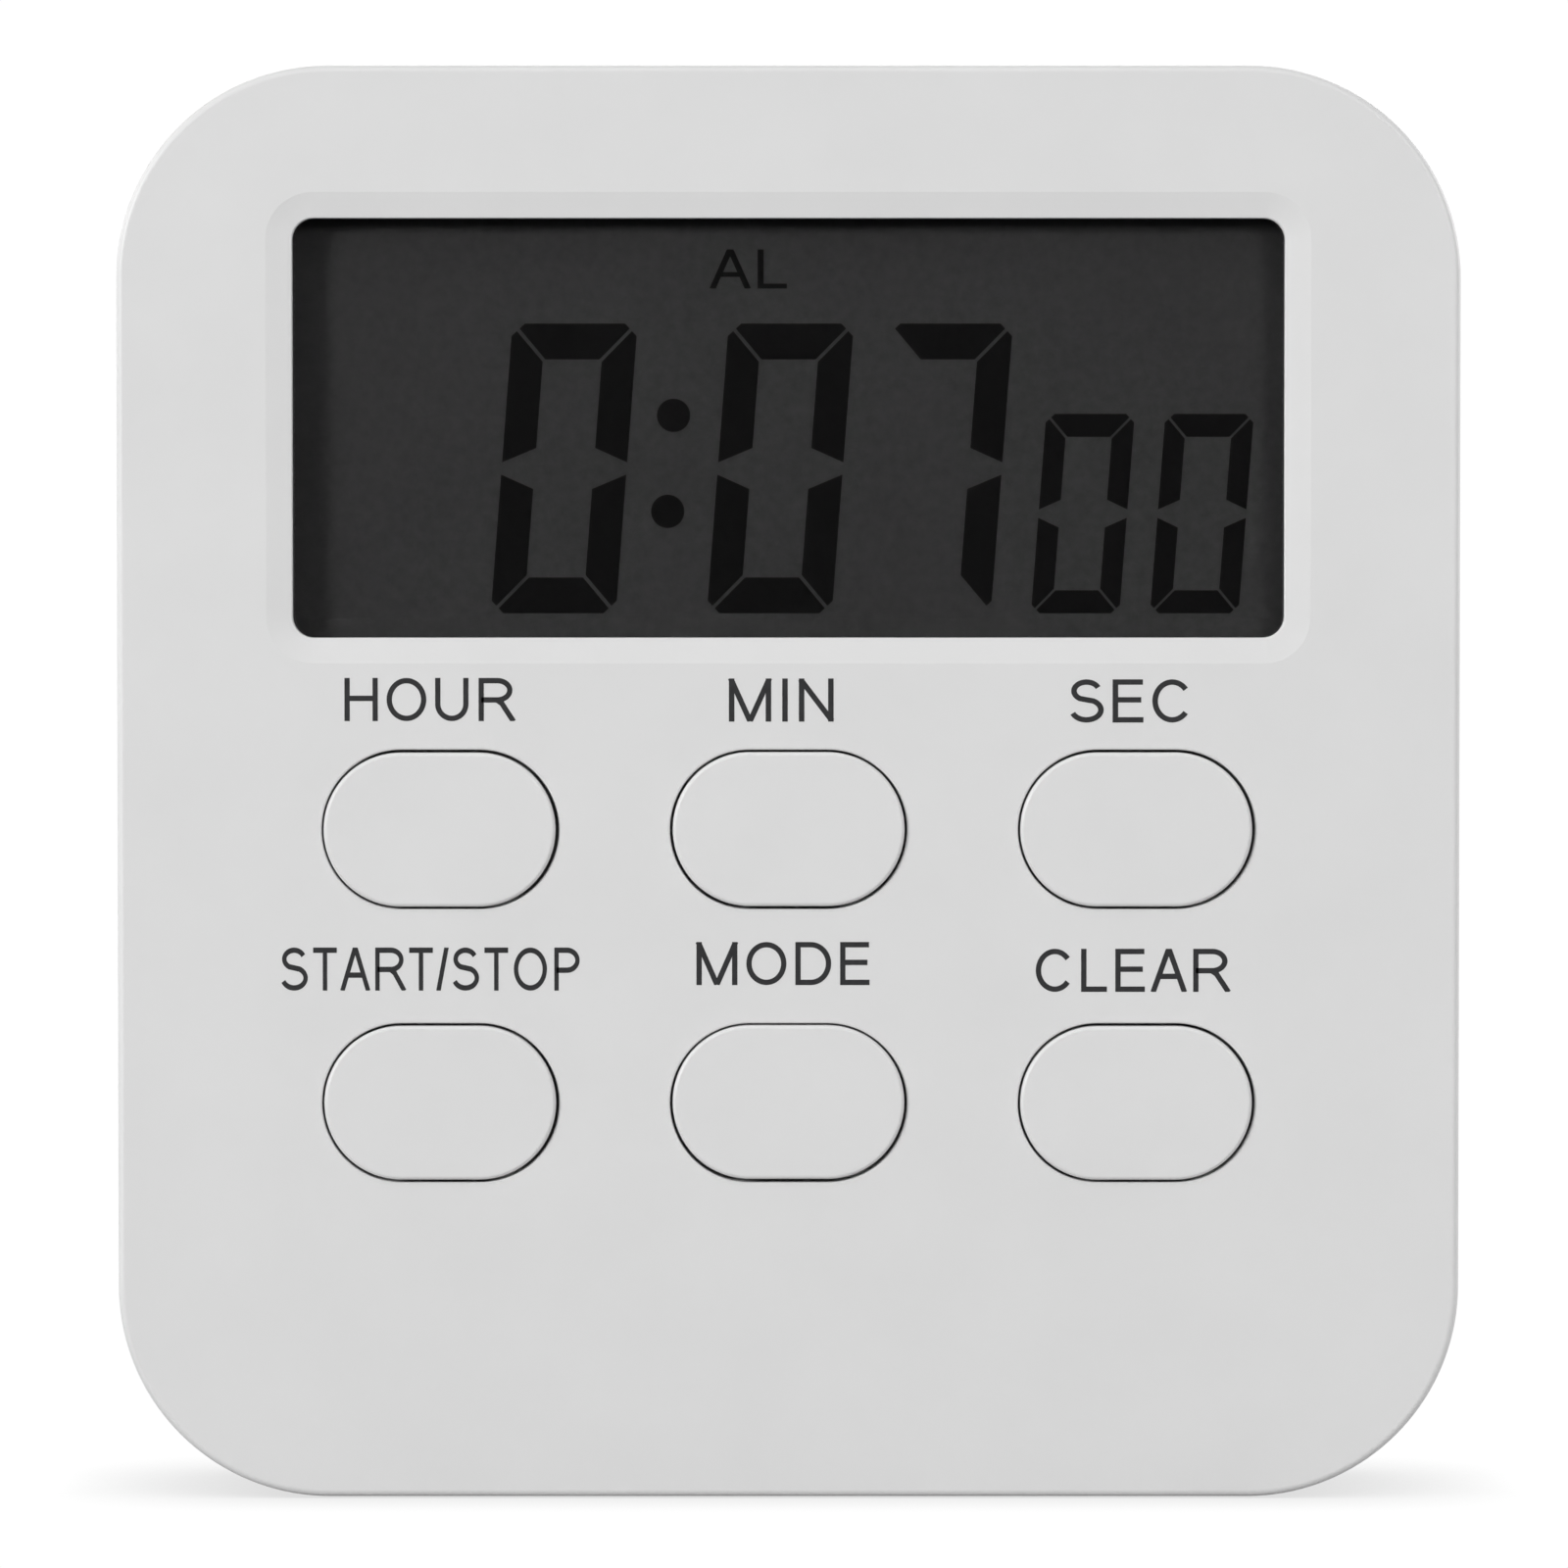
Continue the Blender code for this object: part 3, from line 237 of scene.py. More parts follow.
def smooth_line(points, pieces):
    """Catmull-Rom points through the given ones, each stretch in this many pieces."""
    ends = [Vector(p) for p in points]
    ends = [2 * ends[0] - ends[1], *ends, 2 * ends[-1] - ends[-2]]
    found = []
    for before, a, b, after in zip(ends, ends[1:], ends[2:], ends[3:]):
        for step in range(pieces):
            t = step / pieces
            found.append(0.5 * (2 * a + (b - before) * t + (2 * before - 5 * a + 4 * b - after) * t * t
                                + (3 * a - before - 3 * b + after) * t ** 3))
    return [*found, ends[-2]]


def rounded(corners, radius, steps=6):
    """A profile of (radius, place) pairs with its corners rounded off. Its two ends stay where they are."""
    points = [Vector(p) for p in corners]
    found = [points[0]]
    for before, at, after in zip(points, points[1:], points[2:]):
        reach = min(radius, (before - at).length / 2, (after - at).length / 2)
        start, end = at + (before - at).normalized() * reach, at + (after - at).normalized() * reach
        for step in range(steps + 1):
            t = step / steps
            found.append(start * (1 - t) ** 2 + at * 2 * t * (1 - t) + end * t * t)
    return [*found, points[-1]]


def tube(name, points, radius, sides=4):
    """A round wire through these points, as a mesh with closed ends."""
    curve = bpy.data.curves.new(name, "CURVE")
    curve.dimensions = "3D"
    curve.bevel_depth = radius
    curve.bevel_resolution = sides
    curve.use_fill_caps = True
    spline = curve.splines.new("POLY")
    spline.points.add(len(points) - 1)
    for point, at in zip(spline.points, points):
        point.co = (*at, 1)
    holder = add_object(name, curve)
    evaluated = holder.evaluated_get(bpy.context.evaluated_depsgraph_get())
    mesh = bmesh.new()
    mesh.from_mesh(bpy.data.meshes.new_from_object(evaluated))
    bpy.data.objects.remove(holder)
    return mesh_from(name, mesh)


# ---------------------------------------------------------------- pieces
def combine(data, operation, meshes):
    """This mesh with these meshes joined to it or cut from it."""
    whole, *helpers = [add_object("helper", mesh) for mesh in (data, *meshes)]
    for helper in helpers:
        modifier = whole.modifiers.new("boolean", "BOOLEAN")
        modifier.operation = operation
        modifier.object = helper
        modifier.solver = "EXACT"
    evaluated = whole.evaluated_get(bpy.context.evaluated_depsgraph_get())
    made = closed(bpy.data.meshes.new_from_object(evaluated))
    for helper in (whole, *helpers):
        bpy.data.objects.remove(helper)
    return made


def closed(data):
    """Fills the facets that a boolean has dropped."""
    mesh = bmesh.new()
    mesh.from_mesh(data)
    gaps = [edge for edge in mesh.edges if edge.is_boundary]
    if gaps:
        bmesh.ops.holes_fill(mesh, edges=gaps, sides=4)
        bmesh.ops.recalc_face_normals(mesh, faces=mesh.faces)
        mesh.to_mesh(data)
    mesh.free()
    return data


def piece(name, data, material, slot, node=None, body="casing", crisp=PART_CRISP, bevel=None):
    """Puts one visible piece in the scene, on its body and in place of its CAD node.

    Edges sharper than crisp, in degrees, stay sharp, and without it every face is flat. A bevel is
    (width, segments), and takes the edge off the corners.
    """
    made = add_object(name, data)
    data.materials.clear()
    data.materials.append(material)
    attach(made, body)
    if node:
        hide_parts(node)
    if bevel:
        modifier = made.modifiers.new("edges", "BEVEL")
        modifier.width, modifier.segments = bevel
        modifier.limit_method = "ANGLE"
        modifier.angle_limit = math.radians(BEVELLED_ANGLE)
    if crisp:
        data.shade_smooth()
        data.set_sharp_from_angle(angle=math.radians(crisp))
        made.modifiers.new("flat_faces_stay_flat", "WEIGHTED_NORMAL").keep_sharp = True
    return made


def centre_of(node):
    low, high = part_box(node)
    return (low + high) / 2


def moved(data, x=0, y=0, z=0):
    data.transform(Matrix.Translation((x, y, z)))
    return data


def pin(centre, radius, start, end, steps=ROUND_STEPS):
    """A round bar along Y past this centre, to add or to cut away."""
    return moved(prism("pin", circle(radius, steps), start, end), centre.x, 0, centre.z)


def disc(name, node, edge, steps, facets):
    """A round plate with soft rims that fills the box of its CAD node."""
    low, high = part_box(node)
    centre, radius = centre_of(node), (high.x - low.x) / 2
    profile = rounded([(0, low.y), (radius, low.y), (radius, high.y), (0, high.y)], edge, steps)
    return turned(name, profile, (centre.x, 0, centre.z), "Y", facets)


# ---------------------------------------------------------------- materials
class Material:
    """One node material with object coordinates, a Principled shader and short ways to add to it."""

    def __init__(self, name, colour, roughness, **sockets):
        self.made = bpy.data.materials.new(name)
        self.made.use_nodes = True
        self.tree = self.made.node_tree
        self.place = self.node("TexCoord").outputs["Object"]
        self.colour = colour
        self.set(Base_Color=(*colour, 1), Roughness=roughness, **sockets)

    def node(self, kind, inputs=None, **values):
        return new_node(self.tree, kind, inputs, **values)

    def set(self, **inputs):
        """Links or sets the shader's inputs, whose names are given with _ for each space."""
        spaced = {name.replace("_", " "): inputs[name] for name in inputs}
        set_inputs(self.tree.nodes["Principled BSDF"], spaced)

    def noise(self, scale, detail=2.0, roughness=0.5, place=None):
        inputs = {"Vector": place or self.place, "Scale": scale, "Detail": detail, "Roughness": roughness}
        return self.node("TexNoise", inputs).outputs["Fac"]

    def bands(self, direction, **inputs):
        """A wave that runs in this direction."""
        inputs = {"Vector": self.place, **inputs}
        return self.node("TexWave", inputs, wave_type="BANDS", bands_direction=direction).outputs["Fac"]

    def distance(self, source):
        """How far a place is from the origin."""
        return self.node("VectorMath", {0: source}, operation="LENGTH").outputs["Value"]

    def ramp(self, source, first, second, start=0.3, end=0.7):
        return ramp(self.tree, source, first, second, start, end)

    def spread(self, source, low, high, start=0, end=1):
        """Maps a pattern that runs from start to end onto another range of numbers."""
        inputs = {"Value": source, "From Min": start, "From Max": end, "To Min": low, "To Max": high}
        return self.node("MapRange", inputs).outputs["Result"]

    def mix(self, factor, first, second):
        """A colour between two, by a pattern."""
        return self.node("Mix", {0: factor, 6: first, 7: second}, data_type="RGBA").outputs[2]

    def maths(self, operation, *values):
        return self.node("Math", dict(enumerate(values)), operation=operation).outputs[0]

    def vary_colour(self, pattern, amount):
        """Lightens and darkens the base colour with a pattern, by this share either way."""
        low = tuple(c * (1 - amount) for c in self.colour)
        high = tuple(min(1, c * (1 + amount)) for c in self.colour)
        self.set(Base_Color=self.ramp(pattern, low, high))

    def vary_roughness(self, pattern, low, high):
        self.set(Roughness=self.spread(pattern, low, high))

    def bump(self, pattern, distance, strength):
        """Adds relief of this height in metres, on top of any already there."""
        inputs = {"Height": pattern, "Distance": distance, "Strength": strength}
        below = self.tree.nodes["Principled BSDF"].inputs["Normal"].links
        if below:
            inputs["Normal"] = below[0].from_socket
        self.set(Normal=self.node("Bump", inputs).outputs["Normal"])

    def see_through(self, factor, colour):
        """Lets the rays that factor picks go straight through, tinted."""
        clear = self.node("BsdfTransparent", {"Color": colour})
        shader = self.tree.nodes["Principled BSDF"].outputs[0]
        mix = self.node("MixShader", {0: factor, 1: shader, 2: clear.outputs[0]})
        set_inputs(self.tree.nodes["Material Output"], {"Surface": mix.outputs[0]})


def set_inputs(node, inputs):
    """Links each of these inputs of a node, by name or number, to a socket, or sets it to a value."""
    for key, value in inputs.items():
        if isinstance(value, bpy.types.NodeSocket):
            node.id_data.links.new(value, node.inputs[key])
        else:
            node.inputs[key].default_value = value


def new_node(tree, kind, inputs=None, **values):
    node = tree.nodes.new(f"ShaderNode{kind}")
    for key, value in values.items():
        setattr(node, key, value)
    set_inputs(node, inputs or {})
    return node


def ramp(tree, source, first, second, start, end):
    """A colour that goes from one to another as a 0 to 1 pattern goes from start to end."""
    node = new_node(tree, "ValToRGB", {"Fac": source})
    for element, at, colour in zip(node.color_ramp.elements, (start, end), (first, second)):
        element.position = at
        element.color = (*colour, 1)
    return node.outputs["Color"]


def mottled(name, colour, roughness, tone, gloss=(), relief=(), **sockets):
    """A surface of uneven tone and, where these are given, uneven gloss and a fine relief.

    tone is (noise scale, detail, share either way), gloss is (scale, detail, least, most), and relief is
    (scale, detail, height, strength). A fifth value in relief, or a fourth in tone, is the noise's roughness.
    """
    made = Material(name, colour, roughness, **sockets)
    made.vary_colour(made.noise(*tone[:2], *tone[3:]), tone[2])
    if gloss:
        made.vary_roughness(made.noise(*gloss[:2]), *gloss[2:])
    if relief:
        made.bump(made.noise(*relief[:2], *relief[4:]), *relief[2:4])
    return made


def moulded_plastic(name, colour, roughness=0.42):
    """Injection moulded ABS: a fine spark-eroded grain, faint flow marks and uneven gloss."""
    return mottled(name, colour, roughness, (140, 3, 0.012), (900, 3, roughness - 0.05, roughness + 0.07),
                   (5200, 2, 0.000006, 0.35, 0.6)).made


def printing_ink(name, colour):
    """Pad-printed ink: matt, with slightly uneven density."""
    return mottled(name, colour, 0.55, (2600, 3, 0.18), (1800, 2, 0.48, 0.62)).made


def polariser(name, colour):
    """The front film of a dark display: satin, with a faint mottled diffuser behind it."""
    return mottled(name, colour, 0.6, (1700, 4, 0.16, 0.65), relief=(6000, 2, 0.000003, 0.3),
                   Specular_IOR_Level=0.10).made


def liquid_crystal(name, colour):
    """A segment that is switched on."""
    return mottled(name, colour, 0.6, (1500, 3, 0.25), Specular_IOR_Level=0.05).made


def clear_window(name):
    """Clear acrylic that lets lamps through, so the window's edge shades what lies behind it."""
    made = mottled(name, (0.97, 0.97, 0.97), 0.0, (260, 3, 0.012), relief=(35, 1, 0.000004, 0.3),
                   Transmission_Weight=1.0, IOR=1.49)
    made.see_through(made.node("LightPath").outputs["Is Shadow Ray"], (0.945, 0.945, 0.945, 1))
    return made.made


def metal(name, colour, roughness, grain=(1, 1, 1), scale=3000):
    """Bare or plated metal with fine drawing marks."""
    made = Material(name, colour, roughness, Metallic=1.0)
    stretched = made.node("Mapping", {"Vector": made.place, "Scale": grain}).outputs["Vector"]
    marks = made.noise(scale, 3, 0.6, stretched)
    made.vary_colour(marks, 0.06)
    made.vary_roughness(marks, roughness * 0.75, roughness * 1.3)
    made.bump(marks, 0.000004, 0.3)
    return made.made


def rubber(name, colour, roughness):
    return mottled(name, colour, roughness, (700, 3, 0.08), (1500, 2, roughness - 0.08, roughness + 0.08),
                   (4000, 3, 0.00001, 0.4)).made


def circuit_laminate(name):
    """Green solder mask over copper tracks, with the weave of the glass cloth just showing."""
    made = Material(name, (0.035, 0.17, 0.06), 0.38)
    wave = made.bands("DIAGONAL", **{"Scale": 190, "Distortion": 9, "Detail": 0, "Detail Scale": 0.4})
    tracks = made.ramp(wave, (0, 0, 0), (1, 1, 1), 0.45, 0.52)
    made.set(Base_Color=made.mix(tracks, (0.030, 0.145, 0.050, 1), (0.060, 0.260, 0.095, 1)))
    made.bump(tracks, 0.00003, 0.5)
    made.bump(made.noise(2400, 2), 0.000004, 0.3)
    return made.made


def zebra_rubber(name):
    """Alternate layers of conducting and insulating rubber, a fraction of a millimetre each."""
    made = Material(name, (0.2, 0.2, 0.2), 0.65)
    stripes = made.bands("X", Scale=900)
    made.set(Base_Color=made.ramp(stripes, (0.02, 0.02, 0.02), (0.62, 0.60, 0.55), 0.45, 0.55))
    return made.made


def printed_sleeve(name, band_start, band_end):
    """A cell's shrink sleeve: dark, with a copper-coloured band at the button end, and glossy."""
    made = Material(name, (0.03, 0.035, 0.045), 0.24, Coat_Weight=0.4, Coat_Roughness=0.12)
    along = made.node("SeparateXYZ", {0: made.place}).outputs["X"]
    band = made.maths("MULTIPLY", made.maths("GREATER_THAN", along, band_start),
                      made.maths("LESS_THAN", along, band_end))
    fleck = made.noise(2200, 3)
    dark = made.ramp(fleck, (0.026, 0.030, 0.040), (0.036, 0.041, 0.054))
    copper = made.ramp(fleck, (0.50, 0.20, 0.075), (0.62, 0.27, 0.11))
    made.set(Base_Color=made.mix(band, dark, copper), Metallic=made.maths("MULTIPLY", band, 0.85))
    made.vary_roughness(made.noise(600, 3), 0.18, 0.32)
    made.bump(made.noise(420, 2), 0.00002, 0.15)
    return made.made


def electrode_ceramic(name, centre, radius):
    """Cream ceramic whose face is silvered inside this radius."""
    made = Material(name, (0.72, 0.68, 0.56), 0.5)
    offset = made.node("Mapping", {"Vector": made.place, "Location": [-c for c in centre]})
    flat = made.node("VectorMath", {0: offset.outputs["Vector"], 1: (1, 0, 1)}, operation="MULTIPLY")
    silver = made.maths("LESS_THAN", made.distance(flat.outputs["Vector"]), radius)
    grain = made.noise(2600, 3)
    cream = made.ramp(grain, (0.68, 0.64, 0.52), (0.76, 0.72, 0.60))
    bright = made.ramp(grain, (0.60, 0.60, 0.60), (0.72, 0.72, 0.71))
    made.set(Base_Color=made.mix(silver, cream, bright), Metallic=made.maths("MULTIPLY", silver, 0.9))
    made.bump(grain, 0.000006, 0.4)
    return made.made


def display_glass(name):
    """Thin soda-lime glass, faintly green, with the transparent electrodes just visible as a tint."""
    return mottled(name, (0.82, 0.90, 0.87), 0.04, (300, 2, 0.03), (900, 3, 0.02, 0.06),
                   Transmission_Weight=1.0, IOR=1.52).made


def plain_plastic(name, colour, roughness):
    """A small moulded or dipped part: slight mottling and uneven gloss."""
    return mottled(name, colour, roughness, (3000, 3, 0.10), (1800, 2, roughness - 0.06, roughness + 0.08),
                   (4500, 2, 0.000008, 0.35)).made


ABS = moulded_plastic("white_abs", (0.73, 0.73, 0.73))
KEY_ABS = moulded_plastic("key_abs", (0.735, 0.735, 0.735), 0.38)
INNER_ABS = moulded_plastic("inner_abs", (0.70, 0.70, 0.69), 0.50)
INK = printing_ink("legend_ink", (0.022, 0.022, 0.024))
FILM = polariser("display_film", (0.0210, 0.0210, 0.0210))
SEGMENT = liquid_crystal("display_segment", (0.0014, 0.0014, 0.0014))
CLEAR = clear_window("window_acrylic")
GLASS = display_glass("display_glass")
SILICONE = rubber("silicone_rubber", (0.45, 0.47, 0.49), 0.62)
CONDUCTIVE = rubber("conductive_rubber", (0.022, 0.022, 0.024), 0.78)
ZEBRA = zebra_rubber("contact_strip_layers")
LAMINATE = circuit_laminate("circuit_laminate")
EPOXY = plain_plastic("black_epoxy", (0.016, 0.016, 0.017), 0.30)
SLEEVE = plain_plastic("capacitor_sleeve", (0.030, 0.045, 0.17), 0.34)
RED = plain_plastic("red_insulation", (0.60, 0.035, 0.025), 0.42)
BLACK = plain_plastic("black_insulation", (0.018, 0.018, 0.019), 0.42)
TIN = metal("tinned_can", (0.74, 0.74, 0.75), 0.24, (1, 6, 6))
STEEL = metal("plated_steel", (0.62, 0.61, 0.59), 0.28)
NICKEL = metal("magnet_nickel", (0.66, 0.64, 0.61), 0.22, (1, 1, 1), 1800)
BRASS = metal("sounder_brass", (0.78, 0.57, 0.24), 0.28, (1, 1, 8), 2400)
COPPER = metal("winding_copper", (0.72, 0.32, 0.16), 0.30, (1, 1, 1), 4000)
CELL_METAL = metal("cell_cap_metal", (0.70, 0.69, 0.67), 0.22)


# ---------------------------------------------------------------- casing
front_low, front_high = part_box("front_shell")
FRONT, BACK = front_low.y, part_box("rear_shell")[1].y
WIDTH, HEIGHT = front_high.x - front_low.x, front_high.z - front_low.z
MIDDLE = (front_low.z + front_high.z) / 2
TONGUE_END = front_high.y
SEAM_Y = TONGUE_END - 0.0012
FRONT_INNER, BACK_INNER = FRONT + WALL, BACK - BACK_WALL
lens_low, lens_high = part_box("display_lens")
WINDOW_W = lens_high.x - lens_low.x - 2 * LENS_MARGIN
WINDOW_H = lens_high.z - lens_low.z - 2 * LENS_MARGIN
WINDOW_Z = (lens_low.z + lens_high.z) / 2
board_low, board_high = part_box("main_board")
CASE_SCREW_NAMES, BOARD_SCREW_NAMES, MAGNET_NAMES = (
    sorted(name for name in NODES if name.startswith(kind))
    for kind in ("case_screw", "board_screw", "magnet"))


def case_section(inset, depth):
    outline = rounded_box(WIDTH - 2 * inset, HEIGHT - 2 * inset, CORNER_R - inset, CORNER_STEPS, (0, MIDDLE))
    return outline, depth


def key_outline(key, growth):
    """Outline of a key's cap, grown by this much."""
    low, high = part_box(f"{key}_button")
    middle = (low + high) / 2
    width = high.x - low.x - 2 * KEY_FLANGE + 2 * growth
    height = high.z - low.z - 2 * KEY_FLANGE + 2 * growth
    return rounded_box(width, height, height, KEY_STEPS, (middle.x, middle.z))


def window_cutter():
    """The window's opening, with a shallow bevelled frame round it."""
    middle, above = (0, WINDOW_Z), 0.0002
    reach = BEVEL_W * (BEVEL_DEPTH + above) / BEVEL_DEPTH
    mouth = rounded_box(WINDOW_W + 2 * reach, WINDOW_H + 2 * reach, WINDOW_R + reach, ROUND_STEPS, middle)
    sections = [(mouth, FRONT - above)]
    lip = 0.0001
    for inset, depth in quarter_turn(lip):
        rim = rounded_box(WINDOW_W + 2 * inset, WINDOW_H + 2 * inset, WINDOW_R, ROUND_STEPS, middle)
        sections.append((rim, FRONT + BEVEL_DEPTH + depth))
    sections.append((sections[-1][0], FRONT_INNER + OVERCUT))
    return loft("window", sections)


def blind_boss(centre, radius, hole_radius, base, end, hole_end):
    data = loft("boss", [(circle(radius), base), (circle(radius), end),
                         (circle(hole_radius), end), (circle(hole_radius), hole_end)])
    return moved(data, centre.x, 0, centre.z)


def cell_frame():
    """The rib that locates the display's glass."""
    low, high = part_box("lcd_front_glass")
    gap, rib, middle = 0.0004, 0.0009, (0, (low.z + high.z) / 2)
    width, height = high.x - low.x + gap, high.z - low.z + gap
    inner = rounded_box(width, height, 0.0003, 4, middle)
    outer = rounded_box(width + 2 * rib, height + 2 * rib, 0.0012, 4, middle)
    base, end = FRONT_INNER - MERGE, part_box("lcd_rear_polariser")[0].y - 0.00005
    return loft("cell_frame", [(outer, base), (outer, end), (inner, end), (inner, base)], ring=True)


def make_front_case():
    sections = [case_section(inset, FRONT + depth) for inset, depth in quarter_turn(FRONT_EDGE_R)]
    sections += [case_section(inset, SEAM_Y - depth) for inset, depth in reversed(quarter_turn(SEAM_EDGE_R))]
    sections += [case_section(WALL - TONGUE, SEAM_Y), case_section(WALL - TONGUE, TONGUE_END),
                 case_section(WALL, TONGUE_END), case_section(WALL, FRONT_INNER)]
    root, behind, gap = FRONT_INNER - MERGE, FRONT_INNER + 0.0005, 0.0002
    added = [cell_frame()]
    for names, radius, hole_radius, floor, end in (
            (BOARD_SCREW_NAMES, *BOARD_BOSS, board_low.y - 0.0001), (CASE_SCREW_NAMES, *CASE_BOSS, 0.0)):
        added += [blind_boss(centre_of(name), radius, hole_radius, root, end, FRONT_INNER + floor)
                  for name in names]
    rebate = rounded_box(lens_high.x - lens_low.x + 2 * gap, lens_high.z - lens_low.z + 2 * gap, 0.0008,
                         ROUND_STEPS, (0, WINDOW_Z))
    cut = [window_cutter(), prism("rebate", rebate, lens_low.y - 0.0001, behind)]
    cut += [flared(lambda growth, key=key: key_outline(key, FIT + growth), FRONT, 1, behind) for key in KEYS]
    data = combine(combine(loft("front_case", sections), "UNION", added), "DIFFERENCE", cut)
    piece("front_case", data, ABS, "white_abs", "front_shell", crisp=SHELL_CRISP)


def make_key(key):
    """A cap with a softly rounded rim, its retaining flange and its post."""
    name = f"{key}_button"
    low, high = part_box(name)
    centre, flange = centre_of(name), FRONT_INNER + KEY_HIDDEN
    flange_end = flange + KEY_FLANGE_T
    post = circle(KEY_POST_R, KEY_STEPS, (centre.x, centre.z))
    sections = [(key_outline(key, -inset), low.y + depth) for inset, depth in quarter_turn(KEY_EDGE_R)]
    sections += [(key_outline(key, 0), flange), (key_outline(key, KEY_FLANGE), flange),
                 (key_outline(key, KEY_FLANGE), flange_end), (post, flange_end), (post, high.y)]
    right, up = KEY_REST[key]
    piece(f"{key}_key_cap", moved(loft(name, sections), right, 0, up), KEY_ABS, "white_abs", name,
          f"{key}_key", crisp=SHELL_CRISP)


def make_lens():
    edge = 0.0001
    smaller, full = [rounded_box(lens_high.x - lens_low.x - 2 * inset, lens_high.z - lens_low.z - 2 * inset,
                                 0.0006, ROUND_STEPS, (0, WINDOW_Z)) for inset in (edge, 0)]
    data = loft("clear_window", [(smaller, lens_low.y), (full, lens_low.y + edge),
                                 (full, lens_high.y - edge), (smaller, lens_high.y)])
    piece("clear_window", data, CLEAR, "clear_acrylic", "display_lens", crisp=SHELL_CRISP)


# ---------------------------------------------------------------- back of the casing
cell_low, cell_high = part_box("aaa_cell")
cell_middle = centre_of("aaa_cell")
CELL_R = (cell_high.z - cell_low.z) / 2
door_low, door_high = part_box("battery_door")
stand_low, stand_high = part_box("kickstand")
STAND_T = stand_high.y - stand_low.y
STAND_W = stand_high.x - stand_low.x - 2 * STAND_AXLE
STAND_AXIS = Vector((0, (stand_low.y + stand_high.y) / 2, stand_low.z + STAND_T / 2))
STAND_LENGTH = stand_high.z - STAND_AXIS.z
DOOR_W = door_high.x - door_low.x - 2 * (DOOR_RAIL - FIT)
DOOR_TOP = door_high.z
DOOR_SEAT = BACK - DOOR_T - 0.0001


def bay_meshes():
    """What the battery bay adds to the rear case, and the trough and slots that are cut from it."""
    half, outer_x = BAY_LENGTH / 2, BAY_LENGTH / 2 + BAY_WALL
    low, high = cell_middle.z - BAY_HEIGHT / 2, cell_middle.z + BAY_HEIGHT / 2
    floor, top = cell_middle.y - CELL_R - 0.0002, high + BAY_WALL
    rebate = TONGUE_END + MERGE
    added = [block("bay", (-outer_x, floor - BAY_WALL, low - BAY_WALL), (outer_x, rebate + OVERCUT, top)),
             block("bay_foot", (-outer_x, rebate + 0.0006, WALL - 0.0008), (outer_x, DOOR_SEAT - MERGE, top))]
    cut = [block("trough", (-half, floor, low), (half, BACK + OVERCUT, high))]
    for side in (-1, 1):
        near, far = sorted((side * (outer_x - MERGE), side * DOOR_SIDE_X))
        added.append(block("rail", (near, DOOR_SIDE_Y, WALL - 0.0007), (far, DOOR_SEAT, DOOR_TOP + 0.0014)))
        near, far = sorted((side * (half - 0.0008), side * (half - 0.0001)))
        cut.append(block("slot", (near, 0.0, high - MERGE), (far, TAB_SLOT_END, top + OVERCUT)))
    return added, cut


def door_opening():
    """The opening that the door closes, round the foot's edge, and the grooves for its rails."""
    edge, behind, ledge = DOOR_W / 2 + FIT, BACK + OVERCUT, 0.0024
    profile = [(DOOR_SEAT, ledge), (BACK - BACK_EDGE_R, ledge), (BACK - BACK_EDGE_R, -OVERCUT),
               (behind, -OVERCUT), (behind, DOOR_TOP + FIT), (DOOR_SEAT, DOOR_TOP + FIT)]
    groove = block("groove", (-edge - DOOR_RAIL, DOOR_SEAT, -OVERCUT),
                   (edge + DOOR_RAIL, DOOR_SEAT + DOOR_RAIL_T + 0.00025, DOOR_TOP - 0.0006))
    return [prism("opening", profile, -edge, edge, "X"), groove]


def stand_recess():
    """The seat added inside for the stand, then its pocket, its hinge holes and the fingernail notch."""
    side, floor = STAND_W / 2 + STAND_PLAY, STAND_AXIS.y - STAND_T / 2 - 0.0004
    low, high = STAND_AXIS.z - 0.0013, STAND_AXIS.z + STAND_LENGTH + STAND_PLAY
    seat_side = side + 0.0020
    seat = block("stand_seat", (-seat_side, floor - BACK_WALL, low - BACK_WALL),
                 (seat_side, BACK_INNER + MERGE, high + 0.0052))

    def pocket(growth):
        return arch(2 * (side + growth), low - growth, high + growth, STAND_CORNER + growth)

    holes_end = side + STAND_AXLE + MERGE
    holes = moved(prism("holes", circle(STAND_AXLE_R + FIT), -holes_end, holes_end, "X"), *STAND_AXIS)
    notch = roller("notch", NOTCH_R, NOTCH_W / 2 + 0.0004, 0.0004, 0.0008, 24)
    moved(notch, 0, BACK + NOTCH_RAISE, high + 0.0004)
    return [seat], [flared(pocket, BACK, -1, floor), holes, notch]


def roller(name, radius, reach, inset, length, steps=ROUND_STEPS):
    """A round bar along X, out to reach either way, whose ends taper by inset over this length."""
    end, full = circle(radius - inset, steps), circle(radius, steps)
    return loft(name, [(end, -reach), (full, length - reach), (full, reach - length), (end, reach)], "X")


def round_hole(centre, radius, end):
    """A cutter for a round blind hole in the back."""
    data = flared(lambda growth: circle(radius + growth, 16), BACK, -1, end)
    return moved(data, centre.x, 0, centre.z)


